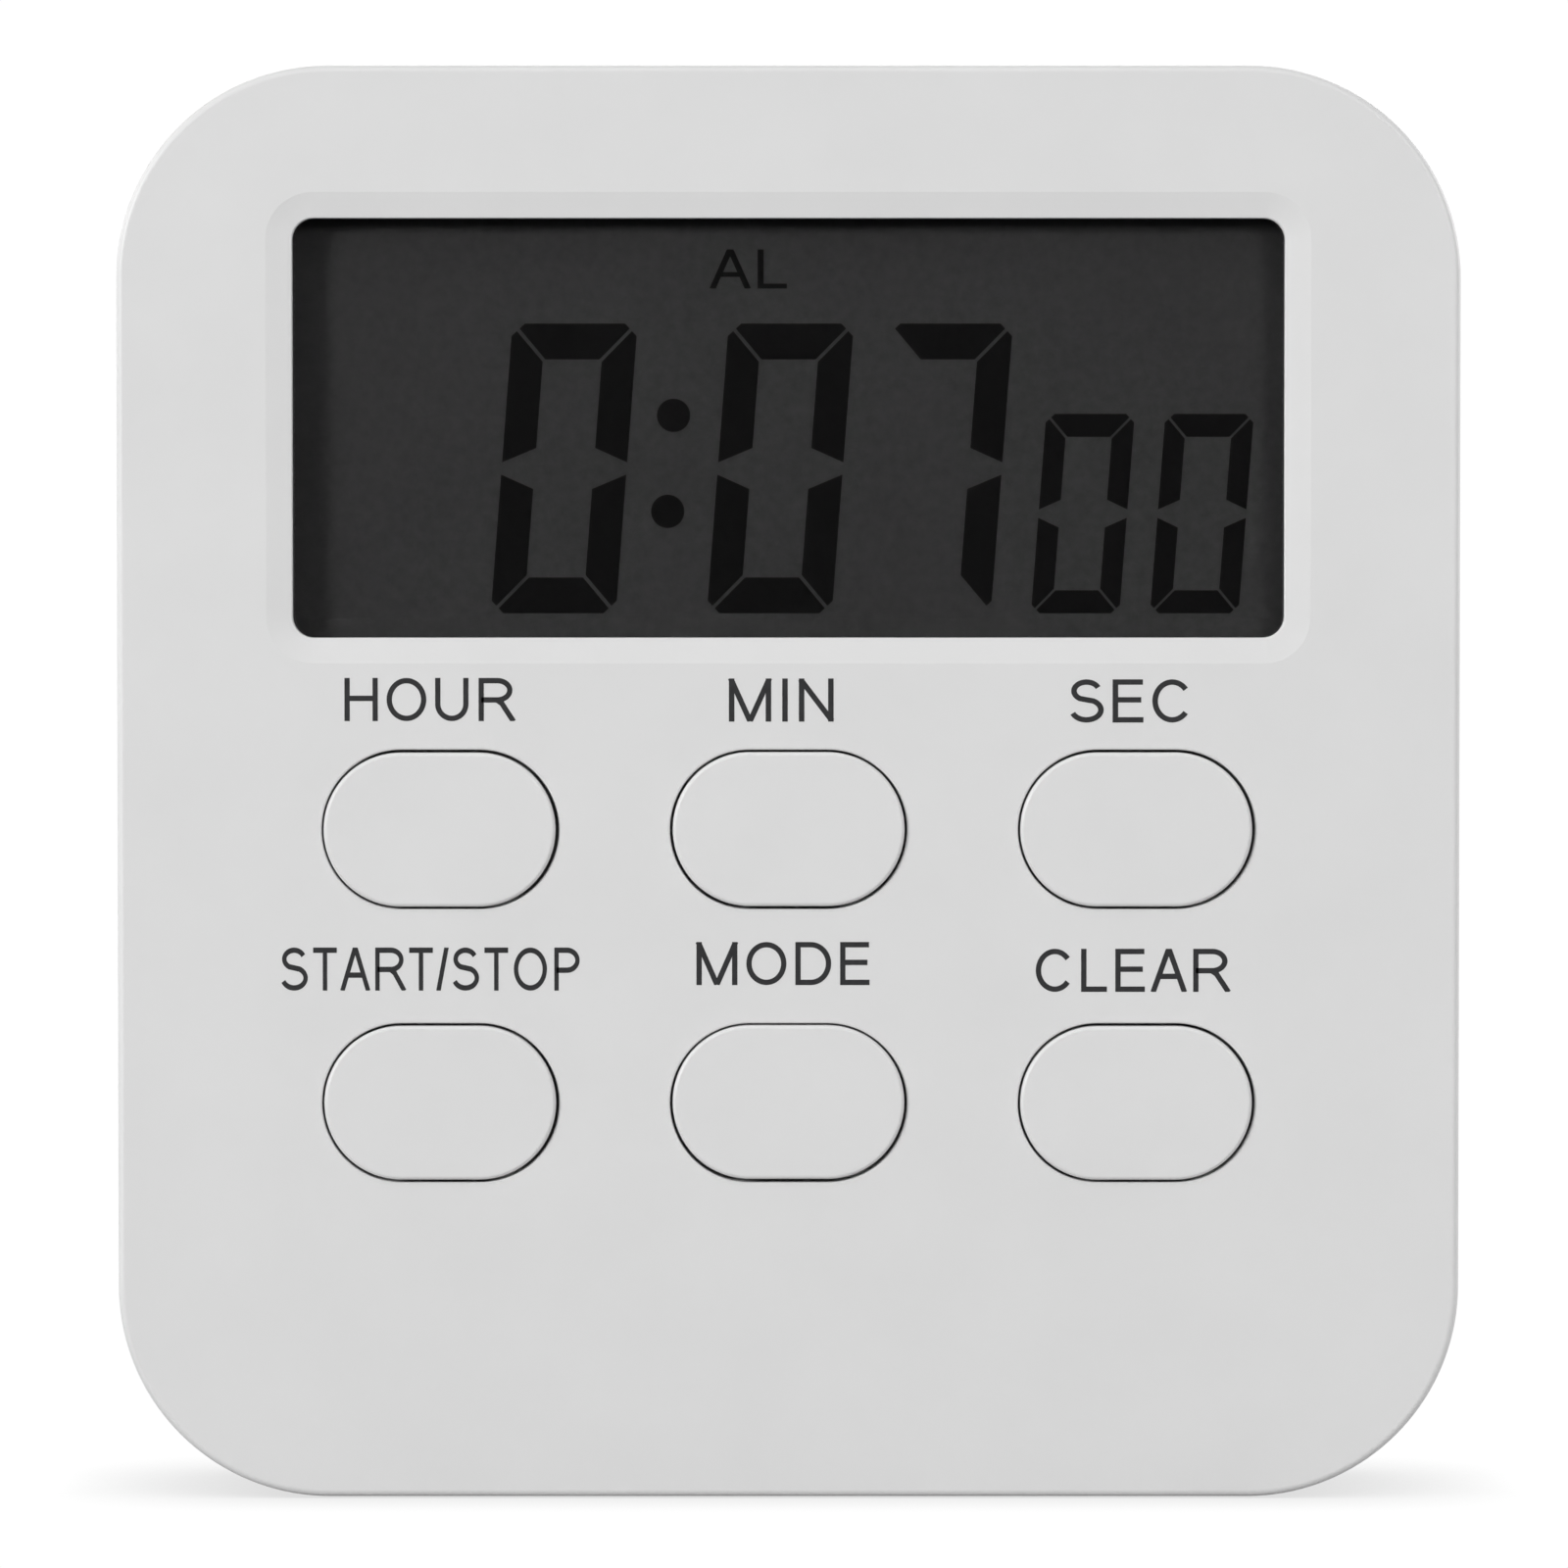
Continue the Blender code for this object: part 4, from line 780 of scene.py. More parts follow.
def make_rear_case():
    start, rim = SEAM_Y + SEAM, WALL - TONGUE - FIT
    rebate_end, inside = TONGUE_END + MERGE, BACK_INNER + MERGE
    sections = [case_section(inset, BACK - depth) for inset, depth in quarter_turn(BACK_EDGE_R, 14)]
    sections += [case_section(inset, start + depth) for inset, depth in reversed(quarter_turn(SEAM_EDGE_R))]
    sections += [case_section(rim, start), case_section(rim, rebate_end),
                 case_section(WALL, rebate_end), case_section(WALL, BACK_INNER)]
    bay_added, bay_cut = bay_meshes()
    seat_added, seat_cut = stand_recess()
    added, cut = [*bay_added, *seat_added], [*bay_cut, *door_opening(), *seat_cut]
    for name in MAGNET_NAMES:
        centre, (low, high) = centre_of(name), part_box(name)
        radius, floor = (high.x - low.x) / 2, low.y - 0.0002
        added.append(pin(centre, radius + 0.0014, floor - 0.0013, inside, 16))
        cut.append(round_hole(centre, radius + FIT, floor))
    for name in CASE_SCREW_NAMES:
        centre = centre_of(name)
        added.append(pin(centre, SCREW_POST_R, MERGE, inside, 16))
        cut += [round_hole(centre, SCREW_BORE_R, SCREW_SEAT),
                pin(centre, SCREW_HOLE_R, -OVERCUT, SCREW_SEAT + OVERCUT)]
    added.append(sounder_seat(inside))
    for i in range(7):  # six vents in a ring, and one in its middle
        turn, reach = math.radians(60 * i), VENT_SPREAD if i < 6 else 0
        at = centre_of("sounder_disc") + Vector((reach * math.cos(turn), 0, reach * math.sin(turn)))
        cut.append(round_hole(at, VENT_R, BACK_INNER - OVERCUT))
    data = combine(combine(loft("rear_case", sections), "UNION", added), "DIFFERENCE", cut)
    piece("rear_case", data, ABS, "white_abs", "rear_shell", crisp=SHELL_CRISP)


def sounder_seat(base):
    """The ring inside the back that the sounder's rim rests on."""
    centre, (low, high) = centre_of("sounder_disc"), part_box("sounder_disc")
    radius, seat = (high.x - low.x) / 2, high.y + 0.00005
    outer, inner = circle(radius + 0.0004, 16), circle(radius - 0.0010, 16)
    ring = loft("ring", [(outer, base), (outer, seat), (inner, seat), (inner, base)], ring=True)
    return moved(ring, centre.x, 0, centre.z)


def make_battery_door():
    """The sliding door: it follows the rounded foot, and has side rails, grip grooves and an arrow."""
    turns = [math.radians(84 * i / 14) for i in range(15)]

    def arc(radius):
        return [(BACK - BACK_EDGE_R + radius * math.cos(turn), BACK_EDGE_R - radius * math.sin(turn))
                for turn in turns]

    top_edge = [(BACK - edge[1], DOOR_TOP - edge[0]) for edge in quarter_turn(0.0002)]
    profile = [(BACK - DOOR_T, DOOR_TOP), *reversed(top_edge), *arc(BACK_EDGE_R),
               *reversed(arc(BACK_EDGE_R - DOOR_T))]
    half = DOOR_W / 2
    rail_x, rail_y = half + DOOR_RAIL - FIT, BACK - DOOR_T + 0.0001
    rails = block("rails", (-rail_x, rail_y, 0.0008), (rail_x, rail_y + DOOR_RAIL_T, DOOR_TOP - 0.0010))
    grip_floor = BACK - DOOR_GRIP_DEPTH
    cut = [dent((0, DOOR_GRIP_LOW + DOOR_GRIP_PITCH * i), DOOR_GRIP_W, DOOR_GRIP_H, DOOR_GRIP_H, 10, BACK,
                grip_floor, 0.0001) for i in range(DOOR_GRIPS)]
    cut.append(prism("arrow", DOOR_ARROW, grip_floor, BACK + OVERCUT))
    data = combine(prism("sliding_door", profile, -half, half, "X"), "UNION", [rails])
    piece("sliding_door", combine(data, "DIFFERENCE", cut), ABS, "white_abs", "battery_door", "battery_door",
          crisp=SHELL_CRISP)


def dent(middle, width, height, corner, steps, face, floor, mouth):
    """A cutter for a shallow hollow with round corners in a face towards the back."""
    def outline(growth):
        return rounded_box(width + 2 * growth, height + 2 * growth, corner + growth, steps, middle)

    return flared(outline, face, -1, floor, mouth)


def make_stand():
    """The flap that props the timer up: a full round at its hinge, soft edges, and a shallow panel."""
    half, edge = STAND_T / 2, 0.00025
    sections = []
    for i in range(37):
        turn = math.radians(180 * i / 36)
        depth = -half * math.cos(turn)
        near = max(0.0, edge - (half - abs(depth)))
        inset = edge - math.sqrt(edge * edge - near * near)
        sections.append((arch(STAND_W - 2 * inset, -half * math.sin(turn), STAND_LENGTH - inset,
                              STAND_CORNER - inset), depth))
    flap = moved(loft("prop_stand", sections), *STAND_AXIS)
    axle = moved(roller("axle", STAND_AXLE_R, STAND_W / 2 + STAND_AXLE, 0.0002, 0.0002), *STAND_AXIS)
    face, middle = STAND_AXIS.y + half, (0, STAND_AXIS.z + STAND_LENGTH * STAND_PANEL_PLACE)
    panel = dent(middle, STAND_PANEL_W, STAND_PANEL_H, 0.0020, ROUND_STEPS, face, face - STAND_PANEL_DEPTH,
                 0.0002)
    data = combine(combine(flap, "UNION", [axle]), "DIFFERENCE", [panel])
    piece("prop_stand", data, ABS, "white_abs", "kickstand", "stand", crisp=SHELL_CRISP)


# ---------------------------------------------------------------- magnets, screws and the cell
def make_magnets():
    for name in MAGNET_NAMES:
        piece(f"{name}_disc", disc(name, name, 0.00035, 9, 24), NICKEL, "magnet_nickel", name)


def cross(tip, root):
    """Outline of a cross-head recess: the tips of its arms are at one radius, the corners at the other."""
    radii = (tip, tip, root) * 4
    turns = [math.radians(30 * i - 15) for i in range(12)]
    return [(r * math.cos(turn), r * math.sin(turn)) for r, turn in zip(radii, turns)]


def thread_outline(radius, depth, turn):
    """A circle with one thread's dent at this turn. Stacked turns of it make a helical thread."""
    outline, steps = [], 28
    for i in range(steps):
        angle = 2 * math.pi * i / steps
        phase = ((angle - turn) / (2 * math.pi)) % 1
        reach = radius - depth * abs(2 * phase - 1)
        outline.append((reach * math.cos(angle), reach * math.sin(angle)))
    return outline


def screw_mesh(name, head_r, head_t, shank_r, length):
    """A self-tapping screw that points to -Y, with the underside of its head at the origin."""
    pitch, per_turn = 0.55 * shank_r, 14
    count = int((length - shank_r) / pitch * per_turn)
    sections = [(thread_outline(0.12 * shank_r, 0, 0), -length)]
    for i in range(count + 1):
        along = -length + 0.15 * shank_r + (length - shank_r) * i / count
        grown = min(1, 0.3 + 0.7 * (along + length) / (2 * shank_r))
        turn = 2 * math.pi * i / per_turn
        sections.append((thread_outline(shank_r * grown, 0.26 * shank_r * grown, turn), along))
    neck = 0.76 * shank_r
    head = rounded([(neck, -0.5 * shank_r), (neck, 0), (head_r, 0), (head_r, 0.55 * head_t),
                    (0.72 * head_r, head_t), (0, head_t)], 0.25 * head_t, 4)
    sections += [(thread_outline(radius, 0, 0), along) for radius, along in head]
    recess = loft("recess", [(cross(0.62 * head_r, 0.22 * head_r), head_t + 0.0002),
                             (cross(0.36 * head_r, 0.14 * head_r), 0.15 * head_t)])
    return combine(loft(name, sections), "DIFFERENCE", [recess])


def make_screws():
    for names, label, shank_r, seat in ((CASE_SCREW_NAMES, "case", 0.00095, SCREW_SEAT),
                                        (BOARD_SCREW_NAMES, "board", 0.00075, board_high.y + 0.00005)):
        low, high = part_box(names[0])
        head_r, head_t = (high.x - low.x) / 2, high.y - seat
        shared = screw_mesh(f"{label}_screw_thread", head_r, head_t, shank_r, seat - low.y)
        for name in names:
            centre = centre_of(name)
            data = moved(shared.copy(), centre.x, seat, centre.z)
            piece(f"{name}_steel", data, STEEL, "plated_steel", name, crisp=METAL_CRISP)


def wrapped(name, outline):
    """A thin mark that follows the cell's round side. The outline is (along x, across) in metres."""
    radius = CELL_R + INK_T
    mesh = bmesh.new()
    mesh.faces.new([mesh.verts.new((x, 0, v)) for x, v in outline])
    across = [v for x, v in outline]
    low, high, rows = min(across), max(across), 8
    for i in range(1, rows):
        level = low + (high - low) * i / rows
        bmesh.ops.bisect_plane(mesh, geom=[*mesh.verts, *mesh.edges, *mesh.faces],
                               plane_co=(0, 0, level), plane_no=(0, 0, 1))
    for vertex in mesh.verts:
        angle = vertex.co.z / radius
        vertex.co = (vertex.co.x, cell_middle.y + radius * math.cos(angle),
                     cell_middle.z + radius * math.sin(angle))
    shell = bmesh.ops.extrude_face_region(mesh, geom=list(mesh.faces))
    for vertex in (item for item in shell["geom"] if isinstance(item, bmesh.types.BMVert)):
        out = Vector((0, vertex.co.y - cell_middle.y, vertex.co.z - cell_middle.z)).normalized()
        vertex.co += out * INK_T
    return mesh_from(name, mesh)


def make_cell():
    """The AAA cell: a printed sleeve shrunk over both rims, and its two metal ends."""
    length, start = cell_high.x - cell_low.x, Vector((cell_low.x, cell_middle.y, cell_middle.z))
    rim, lip, shoulder = CELL_R - 0.0007, 0.0002, length - 0.0014
    crimp, cap, nub, behind = rim - 0.0006, rim - 0.0002, 0.0019, shoulder - 0.0003
    sleeve = rounded([(rim, lip), (rim, 0), (CELL_R, 0), (CELL_R, shoulder), (crimp, shoulder),
                      (crimp, shoulder - lip)], 0.0004, 8)
    flat = rounded([(0, 0.00012), (0.0020, 0.00012), (0.0023, 0.0003), (cap, 0.0003), (cap, 0.0012),
                    (0, 0.0012)], 0.0002, 6)
    button = rounded([(0, shoulder - 0.0015), (rim - 0.0007, shoulder - 0.0015), (rim - 0.0007, behind),
                      (0.0021, behind), (nub, shoulder), (nub, length), (0, length)], 0.0003, 6)
    printed = printed_sleeve("cell_jacket", start.x + CELL_BAND[0], start.x + CELL_BAND[1])
    for name, profile, sides, material, slot, node in (
            ("cell_sleeve", sleeve, 20, printed, "cell_jacket", "aaa_cell"),
            ("cell_flat_end", flat, 16, CELL_METAL, "tinned_can", None),
            ("cell_button_end", button, 16, CELL_METAL, "tinned_can", None)):
        piece(name, turned(name, profile, start, "X", sides), material, slot, node)

    arm, half = CELL_MARK
    plus_x, minus_x = start.x + 0.0382, start.x + 0.0030
    plus = []
    for turn in range(4):
        c, s = math.cos(math.pi / 2 * turn), math.sin(math.pi / 2 * turn)
        plus += [(plus_x + u * c + v * s, v * c - u * s) for u, v in ((half, arm), (half, half), (arm, half))]
    minus = [(minus_x + u, v) for u, v in ((-half, -arm), (half, -arm), (half, arm), (-half, arm))]
    piece("cell_plus", wrapped("cell_plus", plus), INK, "black_epoxy", crisp=None)
    piece("cell_minus", wrapped("cell_minus", minus), ABS, "cell_jacket", crisp=None)


def make_contacts():
    """The two plated contact plates with their solder tabs. The positive one has a dimple for the button."""
    for name, side in (("negative_contact", -1), ("positive_contact", 1)):
        low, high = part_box(name)
        reach = (high.y - low.y) / 2
        top = cell_middle.z + reach
        start, stop = sorted((side * CONTACT_BACK, side * CONTACT_FACE))
        outline = rounded_box(2 * reach, 2 * reach, 0.0006, 6, (cell_middle.y, cell_middle.z))
        tab = [(0.0003, top - MERGE), (0.0017, top - MERGE), (0.0017, high.z - 0.0003), (0.0014, high.z),
               (0.0006, high.z), (0.0003, high.z - 0.0003)]
        added = [prism("tab", tab, start, stop, "X")]
        if side > 0:
            tip = cell_high.x + 0.0001
            dimple = rounded([(0.0022, start + 0.0001), (0.0020, start - 0.0002), (0.0012, tip), (0, tip)],
                             0.0002, 5)
            axis = (0, cell_middle.y, cell_middle.z)
            added.append(turned("dimple", [(0, start + 0.0001), *dimple], axis, "X"))
        data = combine(prism(name, outline, start, stop, "X"), "UNION", added)
        piece(f"{name}_plate", data, STEEL, "plated_steel", name, crisp=METAL_CRISP, bevel=(0.00005, 2))


def make_spring():
    """The coil on the negative contact, which narrows towards the cell."""
    start = SPRING_WIRE_R + 0.00005 - CONTACT_FACE
    end = cell_low.x - SPRING_WIRE_R - 0.00005
    low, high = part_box("battery_spring")
    wide, tip = (high.z - low.z) / 2 - SPRING_WIRE_R, 0.0021
    points, per_turn = [], 32
    for i in range(SPRING_TURNS * per_turn + 1):
        along = i / (SPRING_TURNS * per_turn)
        angle, radius = 2 * math.pi * i / per_turn, wide + (tip - wide) * along
        points.append((start + (end - start) * along, cell_middle.y + radius * math.cos(angle),
                       cell_middle.z + radius * math.sin(angle)))
    piece("contact_spring", tube("contact_spring", points, SPRING_WIRE_R), STEEL, "plated_steel",
          "battery_spring", crisp=WIRE_CRISP)


# ---------------------------------------------------------------- keypad, board and sounder
def slab(name, low, high, front, corner, edge, soft_back=False):
    """A flat plate with round corners, and a fine bevel round its front, or round both faces."""
    smaller, full = [rounded_box(high.x - low.x - 2 * inset, high.z - low.z - 2 * inset, corner - inset,
                                 ROUND_STEPS, (0, (low.z + high.z) / 2)) for inset in (edge, 0)]
    back = [(full, high.y - edge), (smaller, high.y)] if soft_back else [(full, high.y)]
    return loft(name, [(smaller, front), (full, front + edge), *back])


def make_keypad():
    """The silicone sheet on the board, and on it a dome for each key."""
    low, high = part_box("rubber_keypad")
    front = high.y - KEYPAD_SHEET_T
    inner, head = DOME_FOOT_R - DOME_WALL, DOME_HEAD_R - DOME_WALL
    around = (front - OVERCUT, high.y + OVERCUT)
    holes = [pin(centre_of(f"{key}_button"), inner, *around, 16) for key in KEYS]
    holes += [pin(centre_of(name), 0.0021, *around) for name in BOARD_SCREW_NAMES[:2]]
    sheet = combine(slab("keypad_sheet", low, high, front, 0.0015, 0.00012), "DIFFERENCE", holes)
    piece("keypad_sheet", sheet, SILICONE, "silicone", "rubber_keypad")

    top, foot, ceiling = low.y, front + 0.00005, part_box("hour_contact_pill")[0].y - 0.00005
    profile = rounded([(0, top), (DOME_HEAD_R, top), (DOME_FOOT_R - 0.0002, front - 0.0001),
                       (DOME_FOOT_R, front), (DOME_FOOT_R, foot), (inner, foot), (inner, front),
                       (head, ceiling), (0, ceiling)], 0.0003, 8)
    for key in KEYS:
        centre = centre_of(f"{key}_button")
        data = turned(f"dome_{key}", profile, (centre.x, 0, centre.z), "Y", 14)
        dome = piece(f"dome_{key}", data, SILICONE, "silicone", "rubber_keypad")
        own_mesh(dome)


def make_pills():
    for key in KEYS:
        node = f"{key}_contact_pill"
        piece(f"pill_{key}", disc(f"pill_{key}", node, 0.0001, 5, 12), CONDUCTIVE, "conductive_rubber", node,
              f"{key}_key")


def on_board(name, profile, material, slot):
    """A turned component in place of its CAD node, from (radius, height above the board) pairs."""
    centre, base = centre_of(name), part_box(name)[0].y
    data = turned(f"{name}_body", profile, (centre.x, base, centre.z), "Y", 14)
    piece(f"{name}_body", data, material, slot, name)
    return centre, base


def make_board():
    holes = [pin(centre_of(name), 0.0011, board_low.y - OVERCUT, board_high.y + OVERCUT)
             for name in BOARD_SCREW_NAMES]
    plate = slab("circuit_board", board_low, board_high, board_low.y, 0.0030, 0.00008, soft_back=True)
    piece("circuit_board", combine(plate, "DIFFERENCE", holes), LAMINATE, "circuit_laminate", "main_board")


def make_round_components():
    """The chip's blob of epoxy, the capacitor, the inductor with its winding, and the crystal's can."""
    blob = [(0.0050 * math.cos(a), 0.0013 * math.sin(a)) for a in (math.radians(9 * i) for i in range(1, 11))]
    on_board("chip_encapsulant", [(0.0050, 0), *blob], EPOXY, "black_epoxy")
    can = [(0, 0), (0.0020, 0), (0.0020, 0.0006), (0.0018, 0.0009), (0.0020, 0.0012), (0.0020, 0.0042),
           (0.0016, 0.0042), (0.0015, 0.0041), (0, 0.0041)]
    on_board("electrolytic_capacitor", rounded(can, 0.00025, 5), SLEEVE, "capacitor_sleeve")
    bobbin = [(0, 0), (0.0027, 0), (0.0027, 0.0006), (0.0019, 0.0006), (0.0019, 0.0034), (0.0027, 0.0034),
              (0.0027, 0.0040), (0, 0.0040)]
    centre, base = on_board("boost_inductor", rounded(bobbin, 0.00015, 4), EPOXY, "black_epoxy")
    wire, radius, turns, per_turn = 0.00012, 0.0021, 11, 20
    points = []
    for i in range(turns * per_turn):
        angle = 2 * math.pi * i / per_turn
        points.append((centre.x + radius * math.cos(angle), base + 0.00075 + 2 * wire * i / per_turn,
                       centre.z + radius * math.sin(angle)))
    piece("inductor_winding", tube("inductor_winding", points, wire, 2), COPPER, "tinned_can",
          crisp=WIRE_CRISP)
    low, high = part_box("quartz_crystal")
    half, radius = (high.x - low.x) / 2, (high.z - low.z) / 2
    profile = rounded([(0, -half), (radius, -half), (radius, half - 0.0003), (radius * 0.85, half),
                       (0, half)], 0.0002, 5)
    piece("crystal_can", turned("crystal_can", profile, centre_of("quartz_crystal"), "X", 12), TIN,
          "tinned_can", "quartz_crystal")


def make_chip_components():
    """Small square parts: a black body between two tinned ends."""
    for name in ("drive_transistor", "tuning_resistor", "filter_capacitor"):
        low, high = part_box(name)
        cap, shrink = (high.x - low.x) * 0.16, 0.00004
        body = block(name, (low.x + cap, low.y, low.z), (high.x - cap, high.y, high.z))
        piece(f"{name}_body", body, EPOXY, "black_epoxy", name, crisp=BEVELLED_ANGLE, bevel=(0.00006, 3))
        for side, start, end in (("left", low.x, low.x + cap), ("right", high.x - cap, high.x)):
            lead = block(name, (start, low.y, low.z + shrink), (end, high.y - shrink, high.z - shrink))
            piece(f"{name}_{side}_end", lead, TIN, "tinned_can", crisp=BEVELLED_ANGLE, bevel=(0.00005, 3))


def make_sounder():
    low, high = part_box("sounder_ceramic")
    ceramic = electrode_ceramic("sounder_ceramic", centre_of("sounder_disc"), (high.x - low.x) / 2 - 0.0006)
    for name, node, material, slot in (("sounder_brass", "sounder_disc", BRASS, "sounder_brass"),
                                       ("sounder_plate", "sounder_ceramic", ceramic, "sounder_ceramic")):
        piece(name, disc(name, node, 0.00007, 4, 24), material, slot, node)


def lead(name, node, material, slot, route):
    data = tube(name, smooth_line(route, 12), WIRE_R)
    piece(f"{name}_lead", data, material, slot, node, crisp=WIRE_CRISP)


def make_wires():
    """The battery's wires from its contacts to the board, and the sounder's pair."""
    red, black = (RED, "red_insulation"), (BLACK, "black_insulation")
    board_y = board_high.y + WIRE_R + 0.00005
    bends = ((0, 0.0010, 0), (0.0020, 0.0013, 0.0006), (0.0050, 0.0008, 0.0026), (0.0075, 0.0001, 0.0032),
             (0.0100, board_y, 0.0030))
    for side, name, finish in ((1, "positive", red), (-1, "negative", black)):
        x, z = CONTACT_FACE - WIRE_R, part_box(f"{name}_contact")[1].z - 0.0007
        lead(name, f"{name}_wire", *finish, [(side * (x - back), y, z + rise) for back, y, rise in bends])
    centre = centre_of("sounder_disc")
    ceramic_y, disc_y = [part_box(name)[0].y - WIRE_R - 0.0001 for name in ("sounder_ceramic", "sounder_disc")]
    for name, finish, offsets in (
            ("sounder_wire_ceramic", red, ((-0.0015, ceramic_y, 0.0010), (-0.0035, 0.0024, 0.0045),
                                           (-0.0050, 0.0008, 0.0085), (-0.0055, board_y, 0.0120))),
            ("sounder_wire_disc", black, ((0.0005, disc_y, 0.0067), (-0.0010, 0.0024, 0.0090),
                                          (-0.0025, 0.0008, 0.0115), (-0.0030, board_y, 0.0150)))):
        lead(name, name, *finish, [(centre.x + x, y, centre.z + z) for x, y, z in offsets])


def finish_cad_nodes():
    """The flat inner pieces keep their CAD meshes and get finished materials."""
    for name, material in (("lcd_front_glass", GLASS), ("lcd_rear_glass", GLASS),
                           ("lcd_rear_polariser", FILM), ("lcd_holder", INNER_ABS), ("zebra_strip", ZEBRA)):
        for holder in NODES[name].material_slots:
            holder.material = material


# ---------------------------------------------------------------- display
def segment_outlines(width, height, upright, level, chamfer, middle, gap):
    """Outlines of the seven segments of an upright digit whose lower left corner is at the origin."""
    half, near, far = chamfer / 2, upright, width - upright
    upper = [(0, height - chamfer), (half - gap, height - half - gap), (near, height - level - 2 * gap),
             (near, height / 2 + middle), (0, height / 2 + 0.3 * middle)]
    top = [(chamfer, height), (width - chamfer, height), (width - half - gap, height - half + gap),
           (far - 2 * gap, height - level), (near + 2 * gap, height - level),
           (half + gap, height - half + gap)]

    def mirrored(points):
        return [(width - x, z) for x, z in points]

    def dropped(points):
        return [(x, height - z) for x, z in points]

    tip, slope = 0.3 * middle, middle * 0.75
    bar = [(tip, height / 2), (near + gap, height / 2 + slope), (far - gap, height / 2 + slope),
           (width - tip, height / 2), (far - gap, height / 2 - slope), (near + gap, height / 2 - slope)]
    return {"a": top, "b": mirrored(upper), "c": dropped(mirrored(upper)), "d": dropped(top),
            "e": dropped(upper), "f": upper, "g": bar}


def flat_shapes(name, outlines, front, back):
    """One mesh of thin closed plates, one for each outline."""
    mesh = bmesh.new()
    for outline in outlines:
        rows = [[mesh.verts.new((x, depth, z)) for x, z in outline] for depth in (front, back)]
        for i in range(len(outline)):
            j = (i + 1) % len(outline)
            mesh.faces.new((rows[0][i], rows[0][j], rows[1][j], rows[1][i]))
        mesh.faces.new(rows[0])
        mesh.faces.new(rows[1])
    return mesh_from(name, mesh)


def digit(figure, shape, x, z):
    """Slanted outlines of a figure's lit segments, standing at x and z."""
    return [[(x + u + GLYPH_SLANT * v, z + v) for u, v in outline]
            for letter, outline in segment_outlines(**shape).items() if letter in LIT[figure]]


def bow(centre_u, centre_v, reach_u, reach_v, start, end, steps=20):
    """Points along an ellipse, from one angle in degrees to another."""
    turns = [math.radians(start + (end - start) * i / steps) for i in range(steps + 1)]
    return [(centre_u + reach_u * math.cos(a), centre_v + reach_v * math.sin(a)) for a in turns]


# Each letter: width, then side bearing left and right, all in cap heights, and its strokes in a unit square.
# A stroke that runs past the square is trimmed to the height of the capitals.
LETTERS = {
    "A": (0.86, 0.02, 0.02, [[(0, -0.08), (0.5, 1.08)], [(1, -0.08), (0.5, 1.08)],
                             [(0.16, 0.34), (0.84, 0.34)]]),
    "C": (0.86, 0.09, 0.08, [bow(0.52, 0.5, 0.52, 0.5, 38, 322, 40)]),
    "D": (0.84, 0.12, 0.09, [[(0, 1), (0.42, 1), *bow(0.42, 0.5, 0.58, 0.5, 90, -90, 28), (0.42, 0), (0, 0),
                              (0, 1)]]),
    "E": (0.74, 0.12, 0.06, [[(1, 1), (0, 1), (0, 0), (1.02, 0)], [(0, 0.53), (0.94, 0.53)]]),
    "H": (0.79, 0.12, 0.12, [[(0, -0.1), (0, 1.1)], [(1, -0.1), (1, 1.1)], [(0, 0.53), (1, 0.53)]]),
    "I": (0.13, 0.13, 0.13, [[(0.5, -0.1), (0.5, 1.1)]]),
    "L": (0.64, 0.12, 0.04, [[(0, 1.1), (0, 0), (1.05, 0)]]),
    "M": (0.96, 0.12, 0.12, [[(0, -0.1), (0, 1.1)], [(1, -0.1), (1, 1.1)], [(-0.03, 1.08), (0.5, -0.06)],
                             [(1.03, 1.08), (0.5, -0.06)]]),
    "N": (0.79, 0.12, 0.12, [[(0, -0.1), (0, 1.1)], [(1, -0.1), (1, 1.1)], [(-0.04, 1.05), (1.04, -0.05)]]),
    "O": (0.94, 0.09, 0.09, [bow(0.5, 0.5, 0.5, 0.5, 0, 360, 48)]),
    "P": (0.72, 0.12, 0.07, [[(0, -0.1), (0, 1), (0.50, 1), *bow(0.50, 0.735, 0.5, 0.265, 90, -90),
                              (0, 0.47)]]),
    "R": (0.86, 0.12, 0.03, [[(0, -0.1), (0, 1), (0.52, 1), *bow(0.52, 0.745, 0.40, 0.255, 90, -90),
                              (0, 0.49)],
                             [(0.50, 0.49), (0.66, 0.40), (1.04, -0.08)]]),
    "S": (0.76, 0.08, 0.08, [[*bow(0.49, 0.765, 0.44, 0.235, 22, 240, 26),
                              *bow(0.49, 0.265, 0.51, 0.265, 62, -160, 28)]]),
    "T": (0.76, 0.03, 0.03, [[(-0.03, 1), (1.03, 1)], [(0.5, -0.1), (0.5, 1)]]),
    "U": (0.79, 0.12, 0.12, [[(0, 1.1), (0, 0.38), *bow(0.5, 0.38, 0.5, 0.38, 180, 360, 26), (1, 0.38),
                              (1, 1.1)]]),
    "/": (0.34, 0.03, 0.03, [[(-0.04, -0.08), (1.04, 1.08)]]),
}


